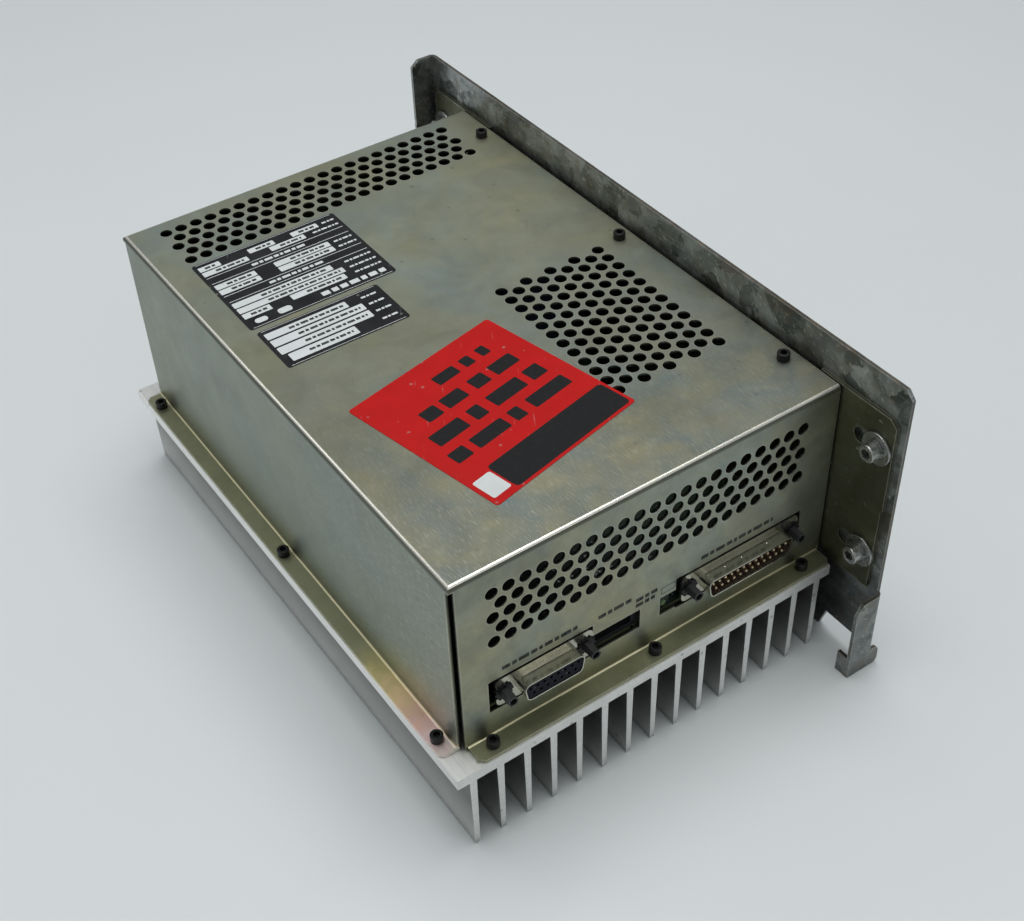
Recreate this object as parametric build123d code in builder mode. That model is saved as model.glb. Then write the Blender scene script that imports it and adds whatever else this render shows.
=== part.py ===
from build123d import *
import os

# Servo drive: a finned aluminium heatsink carries a folded sheet-metal cover, two circuit boards and
# their parts.  A side plate closes the right side, and a mounting bracket slides in its slots.
# X runs across the fins, Y along them from the signal connectors to the power connectors, Z up.
# The origin is the middle of the heatsink's fin tips, on the plane that the drive stands on.

os.makedirs("parts", exist_ok=True)

# ---------------------------------------------------------------- driving dimensions (mm)
sheet = 1.2                    # cover sheet
plate_sheet = 1.5              # side plate and bracket sheet

sink_width = 163.2
sink_length = 247.0
sink_height = 39.0
base_thickness = 4.5
fin_count = 15
fin_pitch = 10.8
fin_root = 2.8
fin_tip = 1.9

cover_left = -74.3
cover_right = 83.7
cover_front = -114.5
cover_back = 117.5
cover_top = 117.2
flange_left = 7.0
flange_front = 8.2
flange_back = 5.8
corner_slit = 2.0
bend_radius = 1.8
root_radius = 1.1

vent_pitch = 6.35
vent_radius = 2.4
vent_row = vent_pitch * 0.8660254

plate_face = 84.4              # side plate, face towards the cover
plate_half_length = 140.0
bracket_face = plate_face + plate_sheet + 0.2
bracket_half_length = 144.8
bracket_near_edge = -143.0
bracket_top = 131.0
bracket_bottom = 9.3
leg_left = 75.5
leg_top = 38.2

slot_width = 6.4
slot_length = 15.3
slot_middle = 129.85
bracket_screw_y = 133.5
bracket_screw_rows = (54.0, 102.5)

connector_z = 58.4
connector_face = cover_front - 0.1
feedback_x = -39.9
control_x = 44.4
jack_offset_15 = 16.66
jack_offset_25 = 23.52

control_board_top = 52.0
power_board_top = 56.6
board_thickness = 1.6

screw_radius = 1.42            # number 4 screw shank
screw_clearance = 1.7
big_screw_radius = 2.08        # number 8 screw shank
fit_gap = 0.03

base_top = sink_height
base_bottom = sink_height - base_thickness
flange_top = base_top + sheet

left_screws = [(-78.1, y) for y in (-106.0, 0.0, 106.0)]
front_screws = [(x, -118.6) for x in (-64.1, 3.75, 71.6)]
back_screws = [(x, 120.6) for x in (-64.1, 3.75, 71.6)]
flange_screws = left_screws + front_screws + back_screws
top_screws = [(78.0, y) for y in (-92.0, 0.0, 94.0)]
plate_foot_screws = [(76.0, y) for y in (-98.0, 0.0, 98.0)]
control_posts = [(x, y) for x in (-64.0, 2.5, 64.0) for y in (-88.0, -14.0)]
power_posts = [(x, y) for x in (-64.0, 64.0) for y in (8.0, 58.0, 100.0)]
module_screws = [(-46.0, 62.0), (26.0, 62.0)]
rectifier_screw = (48.0, 82.0)
bracket_screws = [(y, z) for y in (-bracket_screw_y, bracket_screw_y) for z in bracket_screw_rows]


def keep(builder, label):
    """Name a finished piece and write it as its own STEP file."""
    builder.part.label = label
    export_step(builder.part, f"parts/{label}.step")


def staggered(columns, rows):
    """Local centres of a 60 degree hole pattern: full rows alternate with rows one hole shorter."""
    centres = []
    for row in range(rows):
        short = row % 2
        for column in range(columns - short):
            centres.append(((column + short / 2) * vent_pitch, -row * vent_row))
    return centres


# ---------------------------------------------------------------- heatsink
with BuildPart() as heatsink:
    with BuildSketch(Plane.XZ):
        with Locations((0, base_bottom + base_thickness / 2)):
            Rectangle(sink_width, base_thickness)
        for fin in range(fin_count):
            middle = (fin - (fin_count - 1) / 2) * fin_pitch
            with BuildLine():
                Polyline(
                    (middle - fin_root / 2, base_bottom + 0.5),
                    (middle - fin_tip / 2, 0),
                    (middle + fin_tip / 2, 0),
                    (middle + fin_root / 2, base_bottom + 0.5),
                    close=True,
                )
            make_face()
    extrude(amount=sink_length / 2, both=True)
    tip_edges = heatsink.edges().filter_by(Axis.Y).group_by(Axis.Z)[0]
    fillet(tip_edges, 0.6)
    tapped = flange_screws + plate_foot_screws + control_posts + power_posts
    tapped = tapped + module_screws + [rectifier_screw]
    with BuildSketch(Plane.XY.offset(base_top)):
        with Locations(*tapped):
            Circle(screw_radius + fit_gap)
    extrude(amount=-(base_thickness - 0.3), mode=Mode.SUBTRACT)
keep(heatsink, "heatsink")

# ---------------------------------------------------------------- folded cover
cover_width = cover_right - cover_left
cover_length = cover_back - cover_front
cover_height = cover_top - base_top
cover_middle_y = (cover_front + cover_back) / 2
connector_window_z = 51.0
front_windows = [
    # left, right, bottom, top of each opening in the front face
    (-62.2, -20.2, connector_window_z, 65.8),
    (-20.4, -0.2, 51.7, 60.7),
    (8.4, 15.4, 51.8, 60.6),
    (15.2, 71.8, connector_window_z, 65.8),
]
mains_x = -38.0
motor_x = 30.0
terminal_width = 36.0
terminal_height = 13.0
terminal_z = power_board_top + 6.6
terminal_window = 7.0          # half the height of each terminal's opening
back_windows = [
    (x - terminal_width / 2, x + terminal_width / 2, terminal_z - terminal_window, terminal_z + terminal_window)
    for x in (mains_x, motor_x)
]


front_plane = Plane(origin=(0, cover_front - 1, 0), x_dir=(1, 0, 0), z_dir=(0, -1, 0))
back_plane = Plane(origin=(0, cover_back + 1, 0), x_dir=(-1, 0, 0), z_dir=(0, 1, 0))

with BuildPart() as cover:
    # solid box with rounded bends, hollowed from below and from the right
    with BuildSketch(Plane.XY.offset(base_top)):
        with Locations(((cover_left + cover_right) / 2, cover_middle_y)):
            Rectangle(cover_width, cover_length)
    extrude(amount=cover_height)
    top_edges = cover.faces().sort_by(Axis.Z)[-1].edges()
    bends = top_edges.sort_by(Axis.X)[:-1]
    fillet(bends, bend_radius)
    with BuildPart(mode=Mode.PRIVATE) as hollow:
        with BuildSketch(Plane.XY.offset(base_top - 1)):
            with Locations(((cover_left + cover_right) / 2 + sheet, cover_middle_y)):
                Rectangle(cover_width, cover_length - 2 * sheet)
        extrude(amount=cover_height - sheet + 1)
        hollow_edges = hollow.faces().sort_by(Axis.Z)[-1].edges().sort_by(Axis.X)[:-1]
        fillet(hollow_edges, bend_radius - sheet)
    add(hollow.part, mode=Mode.SUBTRACT)
    # open slits at both left corners, where the folded walls meet
    with BuildSketch(Plane.XY.offset(base_top - 1)):
        for y in (cover_front, cover_back):
            with Locations((cover_left, y)):
                Rectangle(2 * corner_slit, 2 * corner_slit)
    extrude(amount=cover_height - bend_radius + 0.7, mode=Mode.SUBTRACT)
    # outward flanges with clipped corners
    with BuildSketch(Plane.XY.offset(base_top)):
        clip = 1.8
        with Locations((cover_left - flange_left / 2 + sheet / 2, cover_middle_y - 0.8)):
            Rectangle(flange_left + sheet, cover_length - 4.4)
        with Locations(((cover_left + cover_right) / 2 + 0.7, cover_front - flange_front / 2 + sheet / 2)):
            Rectangle(cover_width - 2 * corner_slit, flange_front + sheet)
        with Locations(((cover_left + cover_right) / 2 + 0.7, cover_back + flange_back / 2 - sheet / 2)):
            Rectangle(cover_width - 2 * corner_slit, flange_back + sheet)
    extrude(amount=sheet)
    outer_corners = cover.edges().filter_by(Axis.Z).filter_by_position(Axis.Z, base_top, flange_top)
    outer_corners = outer_corners.filter_by(
        lambda edge: edge.center().X < cover_left - 3
        or edge.center().Y < cover_front - 3
        or edge.center().Y > cover_back + 3
    )
    chamfer(outer_corners, clip)
    # inside radius of the bends between walls and flanges
    flange_level = cover.edges().filter_by_position(Axis.Z, flange_top - 0.01, flange_top + 0.01)
    roots = flange_level.filter_by(
        lambda edge: edge.length > 100
        and (abs(edge.center().X - cover_left) < 0.01
             or abs(edge.center().Y - cover_front) < 0.01
             or abs(edge.center().Y - cover_back) < 0.01)
    )
    fillet(roots, root_radius)
    with BuildSketch(Plane.XY.offset(base_top - 0.5)):
        with Locations(*flange_screws):
            Circle(screw_clearance)
    extrude(amount=sheet + 1, mode=Mode.SUBTRACT)
    with BuildSketch(Plane.XY.offset(cover_top + 0.5)):
        with Locations(*top_screws):
            Circle(screw_clearance)
    extrude(amount=-(sheet + 1), mode=Mode.SUBTRACT)
    # connector and lamp openings, cut through the sheet that each plane faces
    for plane, windows in ((front_plane, front_windows), (back_plane, back_windows)):
        with BuildSketch(plane):
            for left, right, bottom, top in windows:
                with Locations((plane.x_dir.X * (left + right) / 2, (bottom + top) / 2)):
                    Rectangle(right - left, top - bottom)
        extrude(amount=-4, mode=Mode.SUBTRACT)
    # vents: a band at the far end, a field over the boards and a band across the front
    far_vent = [(-59.7 + x, 108.5 + y) for x, y in staggered(21, 5)]
    side_vent = [(22.6 - y, -1.6 - x) for x, y in staggered(12, 9)]
    front_vent = [(-59.0 + x, 106.1 + y) for x, y in staggered(21, 5)]
    with BuildSketch(Plane.XY.offset(cover_top + 1)):
        with Locations(*(far_vent + side_vent)):
            Circle(vent_radius)
    extrude(amount=-4, mode=Mode.SUBTRACT)
    with BuildSketch(front_plane):
        with Locations(*front_vent):
            Circle(vent_radius)
    extrude(amount=-4, mode=Mode.SUBTRACT)
keep(cover, "cover")

# ---------------------------------------------------------------- side plate
plate_flange_x = 71.5
plate_top = cover_top
flange_under = cover_top - sheet
flange_from = -104.0
flange_to = 98.0
foot_half_length = 110.0
plate_plane = Plane(origin=(plate_face, 0, 0), x_dir=(0, 1, 0), z_dir=(1, 0, 0))

with BuildPart() as side_plate:
    with BuildSketch(plate_plane):
        with BuildLine():
            Polyline(
                (-plate_half_length + 1.2, base_top),
                (-plate_half_length + 0.6, 77.4),
                (-plate_half_length, 77.4),
                (-plate_half_length, plate_top - 2.6),
                (-plate_half_length + 3.2, plate_top),
                (flange_from, plate_top),
                (flange_from, flange_under - 1),
                (flange_to, flange_under - 1),
                (flange_to, plate_top),
                (plate_half_length - 3.2, plate_top),
                (plate_half_length, plate_top - 2.6),
                (plate_half_length, base_top),
                close=True,
            )
        make_face()
    extrude(amount=plate_sheet)
    # top flange tucked under the cover, and foot flange on the heatsink, both bent inwards
    for low, start, end in ((flange_under - plate_sheet, flange_from, flange_to),
                            (base_top, -foot_half_length, foot_half_length)):
        with BuildSketch(Plane.XY.offset(low)):
            with Locations(((plate_flange_x + plate_face + plate_sheet) / 2, (start + end) / 2)):
                Rectangle(plate_face + plate_sheet - plate_flange_x, end - start)
        extrude(amount=plate_sheet)
    bend_edge = side_plate.edges().filter_by(Axis.Y)
    bend_edge = bend_edge.filter_by_position(Axis.Z, flange_under - 0.1, flange_under + 0.1)
    fillet(bend_edge.sort_by(Axis.X)[-1], 1.4)
    with BuildSketch(plate_plane.offset(-1)):
        for side in (-1, 1):
            for z in bracket_screw_rows:
                with Locations((side * slot_middle, z)):
                    SlotOverall(slot_length, slot_width)
    extrude(amount=plate_sheet + 2, mode=Mode.SUBTRACT)
    with BuildSketch(Plane.XY.offset(flange_under + 1)):
        with Locations(*top_screws):
            Circle(screw_radius + fit_gap)
    extrude(amount=-6, mode=Mode.SUBTRACT)
    with BuildSketch(Plane.XY.offset(base_top - 1)):
        with Locations(*plate_foot_screws):
            Circle(screw_clearance)
    extrude(amount=plate_sheet + 2, mode=Mode.SUBTRACT)
keep(side_plate, "side_plate")

# ---------------------------------------------------------------- sliding mounting bracket
bracket_out = bracket_face + plate_sheet
bracket_plane = Plane(origin=(bracket_face, 0, 0), x_dir=(0, 1, 0), z_dir=(1, 0, 0))
tab_near = -121.0
tab_length = 21.0
foot_right = 90.4
foot_height = 8.6
hook_root = 84.0
hook_radius = 2.4
bracket_bend = 2.6

with BuildPart() as bracket:
    with BuildSketch(bracket_plane):
        with BuildLine():
            Polyline(
                (bracket_near_edge, leg_top + 1.6),
                (bracket_near_edge, bracket_top - 3.2),
                (bracket_near_edge + 3.2, bracket_top),
                (bracket_half_length, bracket_top),
                (bracket_half_length, 0),
                (bracket_half_length - 2.5, 0),
                (bracket_half_length - 2.5, bracket_bottom),
                (-tab_near, bracket_bottom),
                (-tab_near - 3, 0),
                (-tab_near - tab_length, 0),
                (-tab_near - tab_length, bracket_bottom),
                (tab_near + tab_length, bracket_bottom),
                (tab_near + tab_length, 0),
                (tab_near + 3, 0),
                (tab_near, bracket_bottom),
                (-bracket_half_length + 2.5, bracket_bottom),
                (-bracket_half_length + 2.5, 0),
                (-bracket_half_length, 0),
                (-bracket_half_length, leg_top),
                (bracket_near_edge, leg_top),
                close=True,
            )
        make_face()
    extrude(amount=plate_sheet)
    # far flange, full height, and near leg, lower part only, both bent towards the fins
    far_plane = Plane(origin=(0, bracket_half_length, 0), x_dir=(1, 0, 0), z_dir=(0, -1, 0))
    with BuildSketch(far_plane):
        with BuildLine():
            Polyline(
                (leg_left, 0),
                (bracket_out, 0),
                (bracket_out, bracket_top),
                (leg_left + 3.2, bracket_top),
                (leg_left, bracket_top - 2.8),
                close=True,
            )
        make_face()
    extrude(amount=plate_sheet)
    near_plane = Plane(origin=(0, -bracket_half_length + plate_sheet, 0), x_dir=(1, 0, 0), z_dir=(0, -1, 0))
    with BuildSketch(near_plane):
        with BuildLine():
            Polyline(
                (leg_left, 0),
                (bracket_out, 0),
                (bracket_out, leg_top),
                (leg_left + 2.6, leg_top),
                (leg_left, leg_top - 5.0),
                close=True,
            )
        make_face()
    extrude(amount=plate_sheet)
    # small tabs folded back at the inner side of both feet
    with BuildSketch(Plane.XY):
        for y in (-bracket_half_length + 3.2, bracket_half_length - 3.2):
            with Locations((leg_left + plate_sheet / 2, y)):
                Rectangle(plate_sheet, 6.4)
    extrude(amount=9.6)
    upright = bracket.edges().filter_by(Axis.Z)
    upright = upright.filter_by_position(Axis.X, bracket_out - 0.01, bracket_out + 0.01)
    bend_edges = upright.filter_by(lambda edge: abs(abs(edge.center().Y) - bracket_half_length) < 0.01)
    fillet(bend_edges, bracket_bend)
    # rounded hooks beside the bends, level with the feet
    for plane in (far_plane, near_plane):
        with BuildSketch(plane) as hook:
            with Locations(((hook_root + foot_right) / 2, foot_height / 2)):
                Rectangle(foot_right - hook_root, foot_height)
            fillet(hook.vertices().group_by(Axis.X)[-1], hook_radius)
        extrude(amount=plate_sheet)
    with BuildSketch(bracket_plane.offset(-1)):
        with Locations(*bracket_screws):
            Circle(big_screw_radius + fit_gap)
    extrude(amount=plate_sheet + 2, mode=Mode.SUBTRACT)
keep(bracket, "mounting_bracket")

# ---------------------------------------------------------------- fasteners
head_radius = 2.33
head_height = 2.84
socket_width = 2.38
flange_screw_length = 4.6
top_screw_length = 5.5
foot_screw_length = 5.0


def cap_screws(positions, seat, length):
    """Number 4 socket-head cap screws standing up from z = seat."""
    with BuildPart() as screws:
        with BuildSketch(Plane.XY.offset(seat)):
            with Locations(*positions):
                Circle(head_radius)
        extrude(amount=head_height)
        rims = screws.edges().filter_by(GeomType.CIRCLE).group_by(Axis.Z)[-1]
        fillet(rims, head_radius * 0.14)
        with BuildSketch(Plane.XY.offset(seat + head_height)):
            with Locations(*positions):
                RegularPolygon(radius=socket_width / 2, side_count=6, major_radius=False)
        extrude(amount=-head_height * 0.6, mode=Mode.SUBTRACT)
        with BuildSketch(Plane.XY.offset(seat)):
            with Locations(*positions):
                Circle(screw_radius)
        extrude(amount=-length)
    return screws


keep(cap_screws(flange_screws, flange_top, flange_screw_length), "flange_screws")
keep(cap_screws(top_screws, cover_top, top_screw_length), "top_screws")
keep(cap_screws(plate_foot_screws, base_top + plate_sheet, foot_screw_length), "side_plate_screws")

with BuildPart() as top_nuts:
    with BuildSketch(Plane.XY.offset(flange_under - plate_sheet)):
        with Locations(*top_screws):
            Circle(3.4)
            Circle(screw_radius + fit_gap, mode=Mode.SUBTRACT)
    extrude(amount=-2.2)
keep(top_nuts, "top_clinch_nuts")

washer_thickness = 1.2
lock_thickness = 0.9
bracket_head_radius = 3.43
bracket_head_height = 3.5
bracket_socket_apothem = 1.8


def ring_pieces(start, thickness, outer, inner):
    """Plain rings on the bracket screws, from x = start towards +X."""
    with BuildPart() as rings:
        with BuildSketch(Plane(origin=(start, 0, 0), x_dir=(0, 1, 0), z_dir=(1, 0, 0))):
            with Locations(*bracket_screws):
                Circle(outer)
                Circle(inner, mode=Mode.SUBTRACT)
        extrude(amount=thickness)
        rims = rings.edges().filter_by(GeomType.CIRCLE)
        rims = rims.filter_by(lambda edge: edge.radius > outer - 0.01)
        fillet(rims, thickness * 0.22)
    return rings


flat_washer_x = plate_face - washer_thickness
lock_washer_x = flat_washer_x - lock_thickness
head_x = lock_washer_x - bracket_head_height
keep(ring_pieces(flat_washer_x, washer_thickness, 6.35, 2.4), "bracket_flat_washers")

with BuildPart() as lock_washers:
    with BuildSketch(Plane(origin=(lock_washer_x, 0, 0), x_dir=(0, 1, 0), z_dir=(1, 0, 0))):
        for y, z in bracket_screws:
            with Locations((y, z)):
                Circle(3.9)
                Circle(2.25, mode=Mode.SUBTRACT)
            with Locations((y - 3.1, z + 1.3)):
                Rectangle(2.8, 0.6, rotation=22, mode=Mode.SUBTRACT)
    extrude(amount=lock_thickness)
keep(lock_washers, "bracket_lock_washers")

with BuildPart() as bracket_bolts:
    head_plane = Plane(origin=(head_x, 0, 0), x_dir=(0, 1, 0), z_dir=(1, 0, 0))
    with BuildSketch(head_plane):
        with Locations(*bracket_screws):
            Circle(bracket_head_radius)
    extrude(amount=bracket_head_height)
    head_rims = bracket_bolts.edges().filter_by(GeomType.CIRCLE).group_by(Axis.X)[0]
    fillet(head_rims, 0.5)
    with BuildSketch(head_plane):
        with Locations(*bracket_screws):
            RegularPolygon(radius=bracket_socket_apothem, side_count=6, major_radius=False)
    extrude(amount=2.1, mode=Mode.SUBTRACT)
    with BuildSketch(head_plane.offset(bracket_head_height)):
        with Locations(*bracket_screws):
            Circle(big_screw_radius)
    extrude(amount=9.0)
keep(bracket_bolts, "bracket_screws")

with BuildPart() as clinch_nuts:
    with BuildSketch(Plane(origin=(bracket_out, 0, 0), x_dir=(0, 1, 0), z_dir=(1, 0, 0))):
        with Locations(*bracket_screws):
            Circle(4.6)
            Circle(big_screw_radius + fit_gap, mode=Mode.SUBTRACT)
    extrude(amount=2.6)
    nut_rims = clinch_nuts.edges().filter_by(GeomType.CIRCLE).group_by(Axis.X)[-1]
    fillet(nut_rims.filter_by(lambda edge: edge.radius > 4), 0.4)
keep(clinch_nuts, "bracket_clinch_nuts")

# ---------------------------------------------------------------- subminiature D connectors
face_plane = Plane(origin=(0, connector_face, 0), x_dir=(1, 0, 0), z_dir=(0, -1, 0))
connector_flange = 1.0
shell_reach = 5.9


def connector_shell(x, jack_offset, flange_width, width, height, inner_inset):
    """Pressed metal flange with its D-shaped collar."""
    with BuildPart() as shell:
        with BuildSketch(face_plane):
            with Locations((x, connector_z)):
                RectangleRounded(flange_width, 12.55, 2.2)
        extrude(amount=-connector_flange)
        with BuildSketch(face_plane.offset(-connector_flange)):
            with Locations((x, connector_z)):
                add(d_face(width, height, 2.4))
        extrude(amount=connector_flange + shell_reach)
        with BuildSketch(face_plane.offset(-connector_flange)):
            with Locations((x, connector_z)):
                add(d_face(width - 2 * inner_inset, height - 2 * inner_inset, 2.4 - inner_inset))
        extrude(amount=connector_flange + shell_reach, mode=Mode.SUBTRACT)
        with BuildSketch(face_plane.offset(0.5)):
            with Locations((x - jack_offset, connector_z), (x + jack_offset, connector_z)):
                Circle(1.6)
        extrude(amount=-(connector_flange + 1), mode=Mode.SUBTRACT)
    return shell


def d_face(width, height, radius):
    """Rounded D-shaped face."""
    lean = height * 0.1763
    with BuildSketch(mode=Mode.PRIVATE) as outline:
        with BuildLine():
            Polyline(
                (-width / 2, height / 2),
                (width / 2, height / 2),
                (width / 2 - lean, -height / 2),
                (-width / 2 + lean, -height / 2),
                close=True,
            )
        make_face()
        fillet(outline.vertices(), radius)
    return outline.sketch


def pin_places(x, top_count):
    """Contact centres: the upper row has one contact more than the lower row."""
    pitch = 2.76
    upper = [(x + (i - (top_count - 1) / 2) * pitch, connector_z + 1.42) for i in range(top_count)]
    lower = [(x + (i - (top_count - 2) / 2) * pitch, connector_z - 1.42) for i in range(top_count - 1)]
    return upper + lower


def contact_block(x, width, height, front, top_count, hole_radius, hole_depth):
    """Moulded insulator inside a collar, with a hole for every contact."""
    with BuildPart() as block:
        with BuildSketch(face_plane.offset(-connector_flange)):
            with Locations((x, connector_z)):
                add(d_face(width, height, 1.9))
        extrude(amount=connector_flange + front)
        with BuildSketch(face_plane.offset(front)):
            with Locations(*pin_places(x, top_count)):
                Circle(hole_radius)
        extrude(amount=-hole_depth, mode=Mode.SUBTRACT)
    return block


def connector_back(x, width):
    """Right-angle housing behind the flange, standing on the control board."""
    with BuildPart() as housing:
        with BuildSketch(Plane.XY.offset(control_board_top)):
            with Locations((x, connector_face + connector_flange + 4.5)):
                Rectangle(width, 9.0)
        extrude(amount=12.0)
    return housing


keep(connector_shell(feedback_x, jack_offset_15, 39.14, 24.9, 8.1, 0.5), "feedback_connector_shell")
keep(contact_block(feedback_x, 23.8, 7.0, shell_reach - 0.35, 8, 0.62, 5.0), "feedback_connector_insert")
keep(connector_back(feedback_x, 30.0), "feedback_connector_body")
keep(connector_shell(control_x, jack_offset_25, 53.04, 38.96, 8.36, 0.5), "control_connector_shell")
control_insert_front = 0.6
pin_root = 1.6
control_insert = contact_block(control_x, 37.9, 7.3, control_insert_front, 13, 0.53, pin_root)
keep(control_insert, "control_connector_insert")
keep(connector_back(control_x, 44.0), "control_connector_body")

with BuildPart() as control_pins:
    with BuildSketch(face_plane.offset(control_insert_front - pin_root)):
        with Locations(*pin_places(control_x, 13)):
            Circle(0.5)
    extrude(amount=pin_root + 4.6)
    pin_tips = control_pins.edges().filter_by(GeomType.CIRCLE).group_by(Axis.Y)[0]
    fillet(pin_tips, 0.3)
keep(control_pins, "control_connector_pins")

jack_places = [
    (feedback_x - jack_offset_15, connector_z),
    (feedback_x + jack_offset_15, connector_z),
    (control_x - jack_offset_25, connector_z),
    (control_x + jack_offset_25, connector_z),
]
jack_length = 5.2
jack_apothem = 1.85
star_thickness = 0.6
tooth_count = 12

with BuildPart() as jackscrews:
    with BuildSketch(face_plane.offset(star_thickness)):
        with Locations(*jack_places):
            RegularPolygon(radius=jack_apothem, side_count=6, major_radius=False)
    extrude(amount=jack_length)
    with BuildSketch(face_plane.offset(star_thickness + jack_length)):
        with Locations(*jack_places):
            Circle(screw_radius)
    extrude(amount=-5.0, mode=Mode.SUBTRACT)
    with BuildSketch(face_plane.offset(star_thickness)):
        with Locations(*jack_places):
            Circle(screw_radius)
    extrude(amount=-6.0)
keep(jackscrews, "jackscrews")

with BuildPart() as star_washers:
    with BuildSketch(face_plane):
        for x, z in jack_places:
            with Locations((x, z)):
                Circle(3.1)
                with PolarLocations(3.1, tooth_count):
                    Rectangle(1.0, 0.8)
                Circle(1.75, mode=Mode.SUBTRACT)
    extrude(amount=star_thickness)
keep(star_washers, "jackscrew_lock_washers")

# ---------------------------------------------------------------- serial header and status lamps
serial_x = -9.9
header_front = cover_front + 2.6
with BuildPart() as serial_header:
    with BuildSketch(Plane.XY.offset(control_board_top)):
        with Locations((serial_x, header_front + 4.5)):
            Rectangle(18.4, 9.0)
    extrude(amount=8.4)
    recess_plane = Plane(origin=(0, header_front, 0), x_dir=(1, 0, 0), z_dir=(0, -1, 0))
    with BuildSketch(recess_plane):
        with Locations((serial_x, control_board_top + 4.2)):
            Rectangle(15.6, 5.6)
    extrude(amount=-6.4, mode=Mode.SUBTRACT)
keep(serial_header, "serial_header")

with BuildPart() as serial_pins:
    with BuildSketch(recess_plane.offset(-6.4)):
        for z in (-1.27, 1.27):
            with Locations((serial_x, control_board_top + 4.2 + z)):
                with GridLocations(2.54, 1, 5, 1):
                    Rectangle(0.64, 0.64)
    extrude(amount=4.8)
keep(serial_pins, "serial_header_pins")

lamp_x = 11.8
with BuildPart() as lamp_holder:
    with BuildSketch(Plane.XY.offset(control_board_top)):
        with Locations((lamp_x, header_front + 3.5)):
            Rectangle(5.2, 7.0)
    extrude(amount=8.4)
    with BuildSketch(recess_plane):
        with Locations((lamp_x, control_board_top + 2.1), (lamp_x, control_board_top + 6.2)):
            Circle(1.55)
    extrude(amount=-3.0, mode=Mode.SUBTRACT)
keep(lamp_holder, "lamp_holder")

with BuildPart() as lamps:
    with BuildSketch(recess_plane.offset(-3.0)):
        with Locations((lamp_x, control_board_top + 2.1), (lamp_x, control_board_top + 6.2)):
            Circle(1.5)
    extrude(amount=3.6)
    lamp_rims = lamps.edges().filter_by(GeomType.CIRCLE).group_by(Axis.Y)[0]
    fillet(lamp_rims, 0.9)
keep(lamps, "status_lamps")

# ---------------------------------------------------------------- boards and what holds them
post_flats = 5.0


def board(x_from, x_to, y_from, y_to, top, posts):
    """Plain circuit board with mounting holes."""
    with BuildPart() as panel:
        with BuildSketch(Plane.XY.offset(top - board_thickness)):
            with Locations(((x_from + x_to) / 2, (y_from + y_to) / 2)):
                RectangleRounded(x_to - x_from, y_to - y_from, 1.5)
            with Locations(*posts):
                Circle(screw_clearance, mode=Mode.SUBTRACT)
        extrude(amount=board_thickness)
    return panel


def posts(places, top):
    """Hexagonal standoffs screwed into the heatsink, with a tapped hole at the top."""
    with BuildPart() as group:
        with BuildSketch(Plane.XY.offset(base_top)):
            with Locations(*places):
                RegularPolygon(radius=post_flats / 2, side_count=6, major_radius=False)
        extrude(amount=top - board_thickness - base_top)
        with BuildSketch(Plane.XY.offset(base_top)):
            with Locations(*places):
                Circle(screw_radius)
        extrude(amount=-3.6)
        with BuildSketch(Plane.XY.offset(top - board_thickness)):
            with Locations(*places):
                Circle(screw_radius + fit_gap)
        extrude(amount=-6.0, mode=Mode.SUBTRACT)
    return group


def pan_screws(places, seat, length):
    """Pan-head board screws with a cross recess."""
    with BuildPart() as group:
        with BuildSketch(Plane.XY.offset(seat)):
            with Locations(*places):
                Circle(2.7)
        extrude(amount=1.8)
        fillet(group.edges().filter_by(GeomType.CIRCLE).group_by(Axis.Z)[-1], 0.9)
        with BuildSketch(Plane.XY.offset(seat + 1.8)):
            with Locations(*places):
                Rectangle(2.4, 0.6)
                Rectangle(0.6, 2.4)
        extrude(amount=-1.0, mode=Mode.SUBTRACT)
        with BuildSketch(Plane.XY.offset(seat)):
            with Locations(*places):
                Circle(screw_radius)
        extrude(amount=-length)
    return group


keep(board(-70.0, 70.0, cover_front + 2.2, -5.0, control_board_top, control_posts), "control_board")
keep(posts(control_posts, control_board_top), "control_board_posts")
keep(pan_screws(control_posts, control_board_top, 6.0), "control_board_screws")
keep(board(-70.0, 70.0, 2.0, 108.0, power_board_top, power_posts), "power_board")
keep(posts(power_posts, power_board_top), "power_board_posts")
keep(pan_screws(power_posts, power_board_top, 6.0), "power_board_screws")

with BuildPart() as insulation:
    with BuildSketch(Plane.XY.offset(base_top)):
        with Locations((0, -52.0)):
            Rectangle(139.0, 94.0)
        with Locations(*control_posts):
            Circle(4.0, mode=Mode.SUBTRACT)
    extrude(amount=0.5)
keep(insulation, "insulation_sheet")

# ---------------------------------------------------------------- power parts on the heatsink
module_middle = (-10.0, 62.0)
module_size = (84.0, 44.0, 12.0)
rectifier_size = (24.0, 30.0, 8.0)
pad_thickness = 0.3

with BuildPart() as pads:
    with BuildSketch(Plane.XY.offset(base_top)):
        with Locations(module_middle):
            Rectangle(module_size[0] + 2, module_size[1] + 2)
        with Locations(rectifier_screw):
            Rectangle(rectifier_size[0] + 2, rectifier_size[1] + 2)
        with Locations(*(module_screws + [rectifier_screw])):
            Circle(screw_clearance, mode=Mode.SUBTRACT)
    extrude(amount=pad_thickness)
keep(pads, "thermal_pads")

with BuildPart() as power_module:
    with BuildSketch(Plane.XY.offset(base_top + pad_thickness)):
        with Locations(module_middle):
            RectangleRounded(module_size[0], module_size[1], 2.0)
    extrude(amount=module_size[2])
    chamfer(power_module.faces().sort_by(Axis.Z)[-1].edges(), 0.8)
    with BuildSketch(Plane.XY.offset(base_top)):
        with Locations(*module_screws):
            Circle(screw_clearance)
    extrude(amount=module_size[2] + 2, mode=Mode.SUBTRACT)
    with BuildSketch(Plane.XY.offset(base_top + pad_thickness + module_size[2])):
        with Locations(*module_screws):
            Circle(3.2)
    extrude(amount=-6.0, mode=Mode.SUBTRACT)
keep(power_module, "power_module")

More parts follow.
